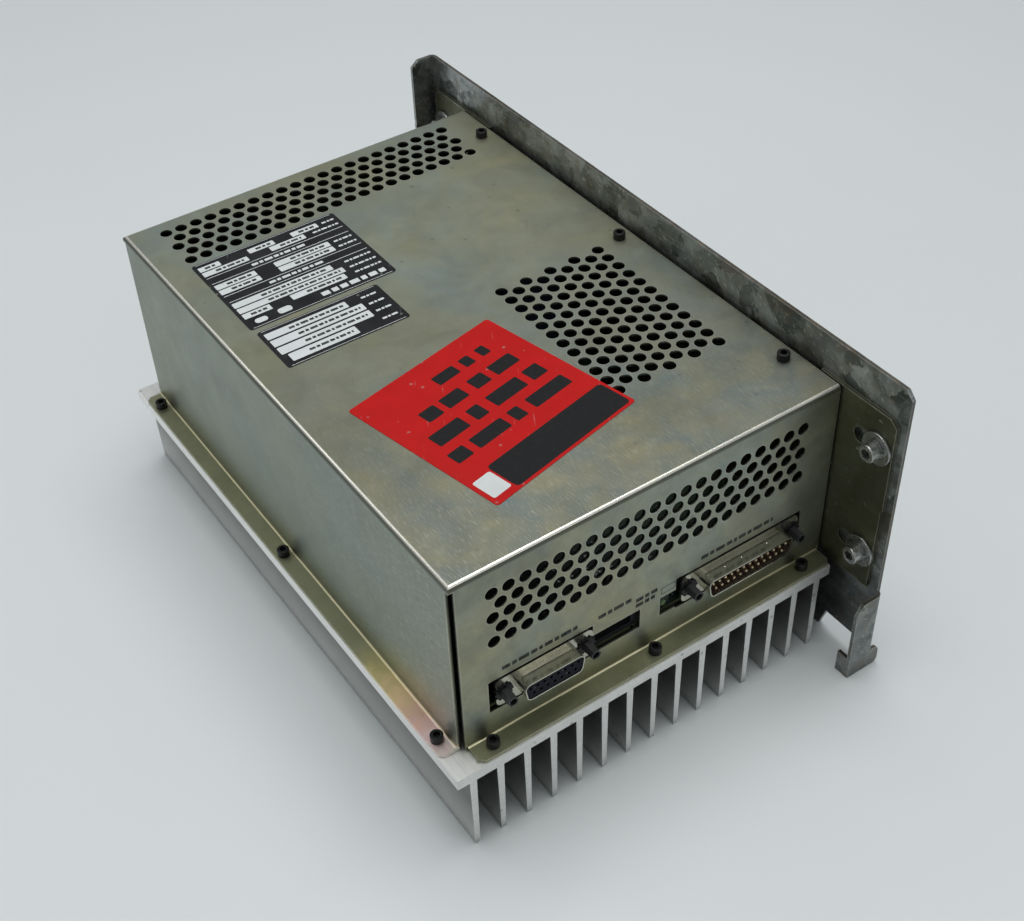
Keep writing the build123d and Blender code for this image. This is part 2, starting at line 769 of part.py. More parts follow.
module_top = base_top + pad_thickness + module_size[2]
with BuildPart() as module_pins:
    with BuildSketch(Plane.XY.offset(module_top)):
        for y in (-18.0, 18.0):
            with Locations((module_middle[0], module_middle[1] + y)):
                with GridLocations(6.0, 1, 11, 1):
                    Rectangle(1.2, 0.7)
    extrude(amount=power_board_top - board_thickness - module_top)
keep(module_pins, "power_module_pins")

with BuildPart() as rectifier:
    with BuildSketch(Plane.XY.offset(base_top + pad_thickness)):
        with Locations(rectifier_screw):
            RectangleRounded(rectifier_size[0], rectifier_size[1], 1.0)
            Circle(screw_clearance, mode=Mode.SUBTRACT)
    extrude(amount=rectifier_size[2])
keep(rectifier, "rectifier_bridge")
rectifier_top = base_top + pad_thickness + rectifier_size[2]
module_seats = ((module_screws, module_top - 6.0), ([rectifier_screw], rectifier_top))
with BuildPart() as power_screws:
    for places, seat in module_seats:
        add(pan_screws(places, seat, seat - base_top + 3.5).part)
keep(power_screws, "power_part_screws")

# ---------------------------------------------------------------- parts on the power board
capacitor_radius = 14.0
capacitor_height = 50.0
capacitor_places = [(-46.0, 24.0), (-14.0, 24.0), (18.0, 24.0), (50.0, 24.0)]
with BuildPart() as capacitors:
    with BuildSketch(Plane.XY.offset(power_board_top)):
        with Locations(*capacitor_places):
            Circle(capacitor_radius)
    extrude(amount=capacitor_height)
    can_rims = capacitors.edges().filter_by(GeomType.CIRCLE)
    fillet(can_rims, 1.2)
    with BuildSketch(Plane.XY.offset(power_board_top + capacitor_height)):
        for place in capacitor_places:
            with Locations(place):
                Rectangle(18.0, 0.5)
                Rectangle(0.5, 18.0)
    extrude(amount=-0.4, mode=Mode.SUBTRACT)
keep(capacitors, "bus_capacitors")

transformer_x = 46.0
transformer_y = 56.0
with BuildPart() as transformer_core:
    with BuildSketch(Plane(origin=(0, transformer_y - 6, 0), x_dir=(-1, 0, 0), z_dir=(0, 1, 0))):
        with Locations((-transformer_x, power_board_top + 19)):
            Rectangle(34.0, 30.0)
            with Locations((-10.5, 0), (10.5, 0)):
                Rectangle(7.0, 20.0, mode=Mode.SUBTRACT)
    extrude(amount=12.0)
keep(transformer_core, "transformer_core")

with BuildPart() as transformer_winding:
    with BuildSketch(Plane.XY.offset(power_board_top)):
        with Locations((transformer_x, transformer_y)):
            Rectangle(27.0, 25.0)
    extrude(amount=3.9)
    with BuildSketch(Plane.XY.offset(power_board_top + 3.9)):
        with Locations((transformer_x, transformer_y)):
            RectangleRounded(27.6, 20.0, 4.0)
    extrude(amount=24.6)
    with BuildSketch(Plane(origin=(0, transformer_y - 6.1, 0), x_dir=(-1, 0, 0), z_dir=(0, 1, 0))):
        with Locations((-transformer_x, power_board_top + 19.0)):
            Rectangle(34.4, 30.2)
            with Locations((-10.5, 0), (10.5, 0)):
                Rectangle(6.8, 19.8, mode=Mode.SUBTRACT)
    extrude(amount=12.2, mode=Mode.SUBTRACT)
keep(transformer_winding, "transformer_winding")

choke_middle = (-48.0, 84.0)
with BuildPart() as choke_core:
    with BuildSketch(Plane.XY.offset(power_board_top + 3.0)):
        with Locations(choke_middle):
            Circle(13.0)
            Circle(7.5, mode=Mode.SUBTRACT)
    extrude(amount=10.0)
    fillet(choke_core.edges().filter_by(GeomType.CIRCLE), 1.0)
keep(choke_core, "choke_core")

wire_turns = 9
with BuildPart() as choke_windings:
    for side in (0, 180):
        for turn in range(wire_turns):
            angle = side - 64 + turn * 16
            turn_plane = Plane(origin=(*choke_middle, power_board_top + 8.0)).rotated((0, 0, angle))
            radial = Plane(origin=turn_plane.origin, x_dir=turn_plane.x_dir, z_dir=turn_plane.y_dir)
            with BuildSketch(radial.offset(-0.6)):
                with Locations((10.25, 0)):
                    RectangleRounded(8.1, 12.6, 1.9)
                    RectangleRounded(5.7, 10.2, 1.15, mode=Mode.SUBTRACT)
            extrude(amount=1.2)
keep(choke_windings, "choke_windings")

with BuildPart() as choke_base:
    with BuildSketch(Plane.XY.offset(power_board_top)):
        with Locations(choke_middle):
            RectangleRounded(28.0, 28.0, 2.0)
            Circle(4.0, mode=Mode.SUBTRACT)
    extrude(amount=1.5)
keep(choke_base, "choke_base")

with BuildPart() as relay:
    with BuildSketch(Plane.XY.offset(power_board_top)):
        with Locations((-20.0, 90.0)):
            RectangleRounded(13.0, 29.0, 1.0)
    extrude(amount=16.0)
    fillet(relay.faces().sort_by(Axis.Z)[-1].edges(), 0.8)
keep(relay, "inrush_relay")

fuse_middle = (8.0, 90.0)
with BuildPart() as fuse:
    with BuildSketch(Plane(origin=(0, fuse_middle[1] - 10.0, 0), x_dir=(-1, 0, 0), z_dir=(0, 1, 0))):
        with Locations((-fuse_middle[0], power_board_top + 5.0)):
            Circle(2.6)
    extrude(amount=20.0)
keep(fuse, "fuse")

with BuildPart() as fuse_clips:
    with BuildSketch(Plane(origin=(0, fuse_middle[1] - 10.0, 0), x_dir=(-1, 0, 0), z_dir=(0, 1, 0))):
        with Locations((-fuse_middle[0], power_board_top + 3.4)):
            Rectangle(6.6, 6.8)
        with Locations((-fuse_middle[0], power_board_top + 5.0)):
            Circle(2.6 + fit_gap, mode=Mode.SUBTRACT)
        with Locations((-fuse_middle[0], power_board_top + 6.4)):
            Rectangle(3.2, 4.0, mode=Mode.SUBTRACT)
    extrude(amount=20.0)
    with BuildSketch(Plane.XY.offset(power_board_top - 1)):
        with Locations(fuse_middle):
            Rectangle(10.0, 9.0)
    extrude(amount=12.0, mode=Mode.SUBTRACT)
keep(fuse_clips, "fuse_clips")

with BuildPart() as filter_capacitors:
    with BuildSketch(Plane.XY.offset(power_board_top)):
        with Locations((28.0, 86.0), (40.0, 86.0), (52.0, 86.0)):
            RectangleRounded(8.5, 18.0, 1.0)
    extrude(amount=15.0)
    fillet(filter_capacitors.faces().filter_by(Axis.Z).group_by(Axis.Z)[-1].edges(), 0.7)
keep(filter_capacitors, "filter_capacitors")

with BuildPart() as current_sensors:
    with BuildSketch(Plane.XY.offset(power_board_top)):
        with Locations((-52.0, 52.0), (-28.0, 52.0), (-4.0, 52.0)):
            RectangleRounded(18.0, 14.0, 1.0)
            Circle(3.0, mode=Mode.SUBTRACT)
    extrude(amount=12.0)
keep(current_sensors, "current_sensors")

# ---------------------------------------------------------------- rear power terminals
terminal_back = cover_back + 1.0
terminal_depth = 13.5
pole_count = 4
pole_pitch = 7.62
rear_face = Plane(origin=(0, terminal_back, 0), x_dir=(-1, 0, 0), z_dir=(0, 1, 0))


def power_terminal(x, label):
    """Pluggable power header: a shroud open to the back with one blade for each pole."""
    with BuildPart() as shroud:
        with BuildSketch(rear_face):
            with Locations((-x, terminal_z)):
                RectangleRounded(terminal_width - 1.0, terminal_height, 0.8)
        extrude(amount=-terminal_depth)
        with BuildSketch(rear_face):
            with Locations((-x, terminal_z)):
                Rectangle(terminal_width - 3.4, terminal_height - 2.8)
        extrude(amount=-(terminal_depth - 2.0), mode=Mode.SUBTRACT)
    keep(shroud, f"{label}_terminal")
    with BuildPart() as blades:
        with BuildSketch(rear_face.offset(-(terminal_depth - 2.0))):
            with Locations((-x, terminal_z)):
                with GridLocations(pole_pitch, 1, pole_count, 1):
                    Rectangle(1.2, 3.4)
        extrude(amount=8.5)
    keep(blades, f"{label}_terminal_blades")


power_terminal(mains_x, "mains")
power_terminal(motor_x, "motor")

# ---------------------------------------------------------------- parts on the control board
with BuildPart() as processor:
    with BuildSketch(Plane.XY.offset(control_board_top + 0.15)):
        with Locations((-20.0, -52.0)):
            RectangleRounded(20.0, 20.0, 0.6)
    extrude(amount=2.0)
    with BuildSketch(Plane.XY.offset(control_board_top)):
        for angle in (0, 90, 180, 270):
            with Locations((-20.0, -52.0)):
                with Locations(Rotation(0, 0, angle)):
                    with Locations((11.0, 0)):
                        with GridLocations(1, 0.9, 1, 20):
                            Rectangle(2.4, 0.35)
    extrude(amount=0.4)
keep(processor, "processor")

chip_places = [(14.0, -64.0), (14.0, -48.0), (30.0, -64.0), (30.0, -48.0), (46.0, -56.0), (-46.0, -60.0)]
with BuildPart() as logic_chips:
    with BuildSketch(Plane.XY.offset(control_board_top)):
        with Locations(*chip_places):
            Rectangle(10.0, 6.2)
    extrude(amount=1.9)
    chamfer(logic_chips.faces().filter_by(Axis.Z).group_by(Axis.Z)[-1].edges(), 0.3)
keep(logic_chips, "logic_chips")

with BuildPart() as board_capacitors:
    with BuildSketch(Plane.XY.offset(control_board_top)):
        with Locations((-54.0, -32.0), (-42.0, -32.0), (-30.0, -32.0), (52.0, -36.0)):
            Circle(4.0)
    extrude(amount=11.5)
    fillet(board_capacitors.edges().filter_by(GeomType.CIRCLE).group_by(Axis.Z)[-1], 0.6)
keep(board_capacitors, "board_capacitors")

link_width = 30.0
with BuildPart() as link_headers:
    for y, top in ((-10.0, control_board_top), (7.0, power_board_top)):
        with BuildSketch(Plane.XY.offset(top)):
            with Locations((-24.0, y)):
                Rectangle(link_width + 4, 5.0)
        extrude(amount=6.0)
keep(link_headers, "link_headers")

ribbon_half = 0.45
with BuildPart() as link_ribbon:
    with BuildSketch(Plane(origin=(-24.0 - link_width / 2, 0, 0), x_dir=(0, 1, 0), z_dir=(1, 0, 0))):
        with BuildLine():
            path = FilletPolyline(
                (-10.0, control_board_top + 6.5),
                (-10.0, power_board_top + 16.0),
                (7.0, power_board_top + 16.0),
                (7.0, power_board_top + 6.5),
                radius=5.0,
            )
            offset(path, amount=ribbon_half, side=Side.BOTH, kind=Kind.ARC)
        make_face()
    extrude(amount=link_width)
keep(link_ribbon, "link_ribbon")

# ---------------------------------------------------------------- labels on the cover
label_thickness = 0.15


def label_piece(x, y, width, length, angle, radius, label):
    """Thin self-adhesive label on the cover's top."""
    with BuildPart() as sticker:
        with BuildSketch(Plane.XY.offset(cover_top)):
            with Locations((x, y)):
                RectangleRounded(width, length, radius, rotation=angle)
        extrude(amount=label_thickness)
    keep(sticker, label)


label_piece(-31.6, 57.3, 61.2, 48.6, 0, 1.2, "rating_label")
label_piece(-36.6, 18.1, 49.8, 24.3, 0, 1.2, "version_label")
label_piece(-16.5, -52.9, 67.3, 69.0, 12.3, 1.2, "red_label")
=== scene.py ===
"""Looks of the servo drive: a finish for every part, its printed labels and marks, and a stage."""

import math

import bmesh
import bpy
from bpy.props import FloatProperty, FloatVectorProperty, IntProperty, PointerProperty
from mathutils import Matrix, Vector


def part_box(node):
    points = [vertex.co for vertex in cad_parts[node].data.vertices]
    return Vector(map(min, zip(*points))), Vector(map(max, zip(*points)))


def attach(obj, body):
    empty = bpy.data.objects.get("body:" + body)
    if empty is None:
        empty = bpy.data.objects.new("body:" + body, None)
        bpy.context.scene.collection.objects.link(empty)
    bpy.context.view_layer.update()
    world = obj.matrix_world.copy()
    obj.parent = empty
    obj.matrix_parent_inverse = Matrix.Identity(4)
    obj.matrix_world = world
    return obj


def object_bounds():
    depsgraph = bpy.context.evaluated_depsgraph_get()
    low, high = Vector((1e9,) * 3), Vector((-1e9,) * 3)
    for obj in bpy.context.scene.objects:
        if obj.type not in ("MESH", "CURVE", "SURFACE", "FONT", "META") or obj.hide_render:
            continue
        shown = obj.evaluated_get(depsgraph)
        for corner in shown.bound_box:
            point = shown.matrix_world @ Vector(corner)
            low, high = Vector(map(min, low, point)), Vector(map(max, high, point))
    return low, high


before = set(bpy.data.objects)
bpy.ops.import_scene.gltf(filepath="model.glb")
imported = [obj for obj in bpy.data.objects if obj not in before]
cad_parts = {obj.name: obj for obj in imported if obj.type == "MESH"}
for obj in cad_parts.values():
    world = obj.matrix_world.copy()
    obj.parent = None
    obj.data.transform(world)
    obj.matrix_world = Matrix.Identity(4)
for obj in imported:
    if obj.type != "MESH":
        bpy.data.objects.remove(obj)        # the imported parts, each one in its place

bl_info = {
    "name": "Servo Drive Looks",
    "version": (1, 0, 0),
    "blender": (4, 5, 0),
    "location": "View3D > Sidebar > Servo Drive",
    "description": "Finishes, printed marks and stage for a servo drive with a finned heatsink",
    "category": "Object",
}

MM = 0.001
DRIVE = "drive"
cad_low, cad_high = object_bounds()
cover_low, cover_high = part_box("cover")
sink_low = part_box("heatsink")[0]
label_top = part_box("rating_label")[1].z
shell_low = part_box("control_connector_shell")[0]
pin_low, pin_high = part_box("control_connector_pins")

# The folded cover, in millimetres.
FLANGE_LEFT, FLANGE_FRONT, FLANGE_BACK = 7.0, 8.2, 5.8      # widths of its flanges
FLANGE_TOP = cover_low.z / MM + 1.9                         # just above the flanges
BEND_START = cover_high.z / MM - 2.0                        # just below the bends at the top
ROOT_LOW = cover_low.z / MM + 1.25                          # where its walls meet its flanges
ROOT_HIGH = cover_low.z / MM + 2.35
WALL_LEFT = cover_low.x / MM + FLANGE_LEFT
WALL_FRONT = cover_low.y / MM + FLANGE_FRONT
WALL_BACK = cover_high.y / MM - FLANGE_BACK
COVER_TOP = cover_high.z / MM

# Colours of dirt, wear, stains and painted shade, which no setting changes.
BLACK = (0.0, 0.0, 0.0)
CLEAR_WHITE = (0.95, 0.95, 0.95)
SHADOW = (0.010, 0.012, 0.010)
GRIME_AND_SHADE = (0.05, 0.05, 0.045)
STEEL_BLUE = (0.20, 0.27, 0.32)
STRAW = (0.42, 0.36, 0.19)
WARM_GREY = (0.40, 0.34, 0.20)
PALE_STRAW = (0.85, 0.78, 0.50)
RUST = (0.20, 0.15, 0.09)
DUST = (0.30, 0.29, 0.27)
CHROMATE_TINTS = (
    (0.25, (0.62, 0.54, 0.26)),
    (0.48, (0.85, 0.64, 0.36)),
    (0.66, (0.90, 0.58, 0.48)),
    (0.82, (0.88, 0.66, 0.66)),
    (1.00, (0.80, 0.78, 0.68)),
)


# ---------------------------------------------------------------- sizes and colours

def colour(name, description, default):
    """A colour that a user may change."""
    return FloatVectorProperty(name=name, description=description, subtype="COLOR", size=3,
                               min=0.0, max=1.0, default=default)


def length(name, description, default):
    """A length in metres that a user may change."""
    return FloatProperty(name=name, description=description, subtype="DISTANCE", unit="LENGTH",
                         default=default)


class SheetColours(bpy.types.PropertyGroup):
    """Colours of the folded sheet metal."""
    zinc_grey: colour("Zinc grey", "Main colour of the passivated zinc", (0.36, 0.385, 0.305))
    zinc_blue: colour("Zinc blue", "Cool patches of the passivated zinc", (0.315, 0.385, 0.375))
    zinc_straw: colour("Zinc straw", "Warm patches of the passivated zinc", (0.42, 0.385, 0.215))
    # This colour also paints shade under the cover's bends and in hidden corners.
    zinc_stain_and_shade: colour("Zinc stain and shade", "Handling marks, dark blotches and painted shade", (0.16, 0.17, 0.13))
    # This colour also paints the highlight on the cover's bends and its glints.
    worn_zinc_and_highlight: colour("Worn zinc and highlight", "Bare metal at worn edges and scratches, and the painted highlight on bends and glints", (0.86, 0.84, 0.74))
    # The side plate's olive is a far darker copy of the flanges' olive: painted shade.
    olive: colour("Olive", "The side plate's olive chromate, darkened as painted shade", (0.088, 0.088, 0.050))
    flange_olive: colour("Flange olive", "Chromate on the cover's flanges", (0.37, 0.375, 0.235))
    spangle_dark: colour("Dark spangle", "Dark crystals of the galvanised bracket",
                         (0.13, 0.145, 0.14))
    spangle_pale: colour("Pale spangle", "Pale crystals of the galvanised bracket",
                         (0.5, 0.535, 0.53))
    sheared: colour("Sheared edge", "Bare steel on the bracket's cut edges", (0.15, 0.135, 0.105))


class MetalColours(bpy.types.PropertyGroup):
    """Colours of the solid metal parts."""
    aluminium: colour("Aluminium", "The extruded heatsink", (0.92, 0.92, 0.90))
    tarnish: colour("Tarnish", "Dull patches on the heatsink", (0.60, 0.60, 0.57))
    black_oxide: colour("Black oxide", "Cap screws and jackscrews", (0.022, 0.022, 0.023))
    bright_zinc: colour("Bright zinc", "Bracket screws, washers and nuts", (0.42, 0.43, 0.41))
    tin: colour("Tin", "Connector shells", (0.55, 0.54, 0.45))
    contact: colour("Contact", "Plated pins and blades", (0.80, 0.66, 0.44))
    copper: colour("Copper", "Enamelled winding wire", (0.60, 0.26, 0.10))


class PlasticColours(bpy.types.PropertyGroup):
    """Colours of plastics, boards and labels."""
    black: colour("Black", "Moulded black plastic", (0.016, 0.017, 0.020))
    brown: colour("Brown", "Plug insert of the control connector", (0.060, 0.016, 0.010))
    blue_black: colour("Blue black", "Socket insert of the feedback connector",
                       (0.006, 0.007, 0.014))
    green: colour("Green", "Power terminals", (0.04, 0.20, 0.08))
    yellow: colour("Yellow", "Film capacitors", (0.72, 0.50, 0.08))
    lens: colour("Lens", "Lamp lenses", (0.20, 0.34, 0.14))
    # The board colour is darkened as painted shade, so the inside looks dark through the vents.
    board: colour("Board", "Solder mask, darkened as painted shade", (0.004, 0.018, 0.008))
    film: colour("Film", "Insulating film and pads", (0.46, 0.47, 0.45))
    sleeve: colour("Sleeve", "Capacitor sleeves", (0.030, 0.036, 0.065))
    ferrite: colour("Ferrite", "Cores", (0.055, 0.055, 0.060))
    tape: colour("Tape", "Winding tape", (0.66, 0.50, 0.10))
    ceramic: colour("Ceramic", "Fuse body", (0.80, 0.78, 0.72))
    ribbon: colour("Ribbon", "Flat cable", (0.36, 0.37, 0.39))
    label_black: colour("Label black", "Ground of the black labels", (0.009, 0.009, 0.010))
    label_white: colour("Label white", "Write-in fields and marks", (0.66, 0.69, 0.69))
    label_red: colour("Label red", "Ground of the square label", (0.50, 0.006, 0.005))
    ink: colour("Ink", "Marks printed on the cover", (0.012, 0.014, 0.013))


class PrintSizes(bpy.types.PropertyGroup):
    """Sizes of the printed layers and small raised details."""
    film: length("Film", "Height of a printed layer above what it lies on", 0.03 * MM)
    corner: length("Corner", "Corner radius of a printed field", 0.35 * MM)
    dimple: length("Dimple", "Radius of a dimple in the plug shell", 0.62 * MM)
    legend: length("Legend", "Height of the marks on the front", 1.7 * MM)


class StageSettings(bpy.types.PropertyGroup):
    """Floor, lights and camera."""
    floor: colour("Floor", "Board that the drive stands on", (0.705, 0.74, 0.742))
    floor_size: length("Floor size", "Side of the floor", 14.0)
    sky: colour("Sky", "Colour of the soft room light", (0.93, 0.97, 1.0))
    sky_strength: FloatProperty(name="Sky strength", description="Strength of the room light",
                                default=1.0)
    key_power: FloatProperty(name="Key power", description="Power of the overhead softbox",
                             subtype="POWER", unit="POWER", default=9.0)
    key_size: length("Key size", "Side of the overhead softbox", 0.8)
    rim_power: FloatProperty(name="Rim power", description="Power of the softbox behind the drive",
                             subtype="POWER", unit="POWER", default=0.6)
    rim_size: length("Rim size", "Side of the softbox behind the drive", 0.35)
    side_power: FloatProperty(name="Side power", description="Power of the softbox at the left",
                              subtype="POWER", unit="POWER", default=2.4)
    side_size: length("Side size", "Side of the softbox at the left", 0.5)
    front_power: FloatProperty(name="Front power",
                               description="Power of the small softbox in front", subtype="POWER",
                               unit="POWER", default=0.35)
    front_size: length("Front size", "Side of the small softbox in front", 0.30)
    lens: FloatProperty(name="Lens", description="Focal length of the camera in millimetres",
                        default=54.217)
    specks: IntProperty(name="Specks", description="Layers of noise in the floor", default=4, min=1,
                        max=8)


SETTINGS = {
    "drive_sheet": SheetColours,
    "drive_metal": MetalColours,
    "drive_plastic": PlasticColours,
    "drive_print": PrintSizes,
    "drive_stage": StageSettings,
}


# ---------------------------------------------------------------- node trees

class Bench:
    """Lays out one node tree: adds nodes, sets plain values and joins sockets."""

    def __init__(self, tree):
        self.tree = tree
        self.count = 0

    def node(self, kind, **settings):
        made = self.tree.nodes.new(kind)
        made.location = (210 * (self.count % 8), -280 * (self.count // 8))
        self.count += 1
        for name, value in settings.items():
            setattr(made, name, value)
        return made

    def feed(self, socket, value):
        """Joins a socket to this one, or sets this one to a plain value."""
        if isinstance(value, bpy.types.NodeSocket):
            self.tree.links.new(value, socket)
        elif socket.type == "RGBA":
            socket.default_value = (value[0], value[1], value[2], 1.0)
        else:
            socket.default_value = value

    def math(self, operation, first, second=0.0, clamp=False):
        made = self.node("ShaderNodeMath", operation=operation, use_clamp=clamp)
        self.feed(made.inputs[0], first)
        self.feed(made.inputs[1], second)
        return made.outputs[0]

    def times(self, first, *others):
        for other in others:
            first = self.math("MULTIPLY", first, other)
        return first

    def plus(self, first, second):
        return self.math("ADD", first, second)

    def minus(self, first, second):
        return self.math("SUBTRACT", first, second)

    def over(self, first, second):
        return self.math("DIVIDE", first, second)

    def above(self, value, limit):
        """1 where value is greater than limit, and 0 elsewhere."""
        return self.math("GREATER_THAN", value, limit)

    def below(self, value, limit):
        """1 where value is less than limit, and 0 elsewhere."""
        return self.math("LESS_THAN", value, limit)

    def size(self, value):
        """The value without its sign."""
        return self.math("ABSOLUTE", value)

    def least(self, first, *others):
        for other in others:
            first = self.math("MINIMUM", first, other)
        return first

    def vector(self, operation, first, second):
        made = self.node("ShaderNodeVectorMath", operation=operation)
        self.feed(made.inputs[0], first)
        self.feed(made.inputs[1], second)
        return made.outputs["Value"] if operation == "DOT_PRODUCT" else made.outputs["Vector"]

    def split(self, value):
        made = self.node("ShaderNodeSeparateXYZ")
        self.feed(made.inputs[0], value)
        return made.outputs[0], made.outputs[1], made.outputs[2]

    def join(self, x, y, z):
        made = self.node("ShaderNodeCombineXYZ")
        for socket, value in zip(made.inputs, (x, y, z)):
            self.feed(socket, value)
        return made.outputs[0]

    def blend(self, share, first, second, mode="MIX"):
        """Mixes two colours."""
        made = self.node("ShaderNodeMix", data_type="RGBA", blend_type=mode)
        self.feed(made.inputs[0], share)
        self.feed(made.inputs[6], first)
        self.feed(made.inputs[7], second)
        return made.outputs[2]

    def between(self, share, first, second):
        """Mixes two values."""
        made = self.node("ShaderNodeMix", data_type="FLOAT")
        self.feed(made.inputs[0], share)
        self.feed(made.inputs[2], first)
        self.feed(made.inputs[3], second)
        return made.outputs[0]

    def span(self, value, low, high, start=0.0, end=1.0):
        """Maps low to high onto start to end, and clamps outside them."""
        made = self.node("ShaderNodeMapRange", clamp=True)
        for socket, number in zip(made.inputs, (value, low, high, start, end)):
            self.feed(socket, number)
        return made.outputs[0]

    def ramp(self, value, stops):
        """A colour ramp from stops of (position, colour)."""
        made = self.node("ShaderNodeValToRGB")
        points = made.color_ramp.elements
        while len(points) < len(stops):
            points.new(1.0)
        for point, (position, shade) in zip(points, stops):
            point.position = position
            point.color = (shade[0], shade[1], shade[2], 1.0)
        self.feed(made.inputs[0], value)
        return made.outputs["Color"]

    def noise(self, place, scale, detail=3.0, rough=0.5, twist=0.0):
        made = self.node("ShaderNodeTexNoise")
        self.feed(made.inputs["Vector"], place)
        self.feed(made.inputs["Scale"], scale)
        self.feed(made.inputs["Detail"], detail)
        self.feed(made.inputs["Roughness"], rough)
        self.feed(made.inputs["Distortion"], twist)
        return made.outputs[0]

    def cells(self, place, scale, feature="F1"):
        made = self.node("ShaderNodeTexVoronoi", feature=feature)
        self.feed(made.inputs["Vector"], place)
        self.feed(made.inputs["Scale"], scale)
        return made.outputs["Distance"], made.outputs["Color"]

    def use(self, group, **inputs):
        """Places a shared effect with its own values, and returns its outputs."""
        made = self.node("ShaderNodeGroup", node_tree=group)
        for name, value in inputs.items():
            self.feed(made.inputs[name], value)
        return made.outputs


def shared_effect(name, inputs, outputs, build):
    """Returns the node group of this name, which is built the first time."""
    tree = bpy.data.node_groups.get(name)
    if tree is None:
        tree = bpy.data.node_groups.new(name, "ShaderNodeTree")
        for socket_name, kind, value in inputs:
            socket = tree.interface.new_socket(name=socket_name, in_out="INPUT", socket_type=kind)
            socket.default_value = value
        for socket_name, kind in outputs:
            tree.interface.new_socket(name=socket_name, in_out="OUTPUT", socket_type=kind)
        bench = Bench(tree)
        start = bench.node("NodeGroupInput")
        end = bench.node("NodeGroupOutput")
        build(bench, start.outputs, end.inputs)
    return tree


NUMBER, ARROW = "NodeSocketFloat", "NodeSocketVector"
ORIGIN = (0.0, 0.0, 0.0)


def blotches():
    """Soft patches of a given size in millimetres."""
    def build(bench, given, result):
        place = bench.vector("SCALE", given["Place"], ORIGIN)
        bench.feed(place.node.inputs["Scale"], bench.over(1.0, given["Size"]))
        moved = bench.vector("ADD", place, bench.join(given["Seed"], given["Seed"], given["Seed"]))
        cloud = bench.noise(moved, 1.0, 4.0, 0.58, 0.6)
        low = bench.minus(0.5, given["Softness"])
        high = bench.plus(0.5, given["Softness"])
        bench.feed(result["Mask"], bench.span(cloud, low, high))
    return shared_effect("Blotches",
                         (("Place", ARROW, ORIGIN), ("Size", NUMBER, 20.0), ("Seed", NUMBER, 0.0),
                          ("Softness", NUMBER, 0.2)), (("Mask", NUMBER),), build)


def drawn_grain():
    """Fine lines left by rolling, which follow a folded sheet round its bends."""
    def build(bench, given, result):
        x, y, z = bench.split(given["Place"])
        side = bench.size(bench.split(given["Facing"])[0])
        on_side = bench.above(side, 0.7)
        across = bench.between(on_side, x, z)
        along = bench.between(on_side, bench.plus(y, z), y)
        fine = bench.join(bench.times(across, given["Fineness"]), bench.over(along, given["Run"]),
                          0.0)
        lines = bench.noise(fine, 1.0, 2.0, 0.65)
        coarse = bench.join(bench.times(across, bench.times(given["Fineness"], 0.8)),
                            bench.over(along, given["Run"]), 3.0)
        strokes = bench.noise(coarse, 1.0, 2.0, 0.6)
        bench.feed(result["Height"], lines)
        bench.feed(result["Strokes"], bench.span(strokes, 0.55, 0.74))
    return shared_effect("Drawn Grain", (("Place", ARROW, ORIGIN), ("Facing", ARROW, ORIGIN),
                                         ("Fineness", NUMBER, 2.5), ("Run", NUMBER, 9.0)),
                         (("Height", NUMBER), ("Strokes", NUMBER)), build)


def worn_edges():
    """A mask along outer edges, broken up by small patches."""
    def build(bench, given, result):
        rounded = bench.node("ShaderNodeBevel", samples=4)
        bench.feed(rounded.inputs["Radius"], given["Reach"])
        flat = bench.node("ShaderNodeNewGeometry").outputs["Normal"]
        turned = bench.vector("DOT_PRODUCT", rounded.outputs[0], flat)
        edge = bench.span(turned, 0.985, 0.80)
        cloud = bench.noise(given["Place"], 0.35, 3.0, 0.6)
        broken = bench.span(cloud, 0.30, 0.62, 0.35, 1.0)
        bench.feed(result["Mask"], bench.times(edge, broken))
    return shared_effect("Worn Edges", (("Place", ARROW, ORIGIN), ("Reach", NUMBER, 0.0005)),
                         (("Mask", NUMBER),), build)


def specks():
    """Scattered small spots: flecks, pits or dust."""
    def build(bench, given, result):
        scale = bench.over(1.0, given["Size"])
        near, tint = bench.cells(given["Place"], scale)
        chosen = bench.below(bench.split(tint)[0], given["Share"])
        spot = bench.span(near, 0.32, 0.12)
        bench.feed(result["Mask"], bench.times(chosen, spot))
    return shared_effect("Specks",
                         (("Place", ARROW, ORIGIN), ("Size", NUMBER, 2.0), ("Share", NUMBER, 0.1)),
                         (("Mask", NUMBER),), build)


def scratches():
    """Sparse thin scratches at a slant to the axes."""
    def build(bench, given, result):
        turned = bench.node("ShaderNodeVectorRotate", rotation_type="EULER_XYZ")
        bench.feed(turned.inputs["Vector"], given["Place"])
        turned.inputs["Rotation"].default_value = (0.35, 0.25, 0.6)
        x, y, z = bench.split(turned.outputs[0])
        drawn = bench.join(bench.times(x, 1.6), bench.times(y, 0.045), bench.times(z, 0.5))
        lines = bench.noise(drawn, 1.0, 2.0, 0.5, 0.4)
        fine = bench.span(lines, given["Rarity"], bench.plus(given["Rarity"], 0.06))
        bench.feed(result["Mask"], fine)
    return shared_effect("Scratches", (("Place", ARROW, ORIGIN), ("Rarity", NUMBER, 0.70)),
                         (("Mask", NUMBER),), build)


def corner_shade_and_grime():
    """Painted shade with dirt: darker in corners and where parts meet, where ambient occlusion
    finds the surface hidden.
    """
    def build(bench, given, result):
        open_sky = bench.node("ShaderNodeAmbientOcclusion", samples=6)
        bench.feed(open_sky.inputs["Distance"], given["Reach"])
        hidden = bench.span(open_sky.outputs["AO"], 0.80, 0.30)
        cloud = bench.noise(given["Place"], 0.5, 3.0, 0.6)
        bench.feed(result["Mask"], bench.times(hidden, bench.span(cloud, 0.25, 0.65, 0.4, 1.0)))
    return shared_effect("Corner Shade and Dirt", (("Place", ARROW, ORIGIN), ("Reach", NUMBER, 0.004)),
                         (("Mask", NUMBER),), build)


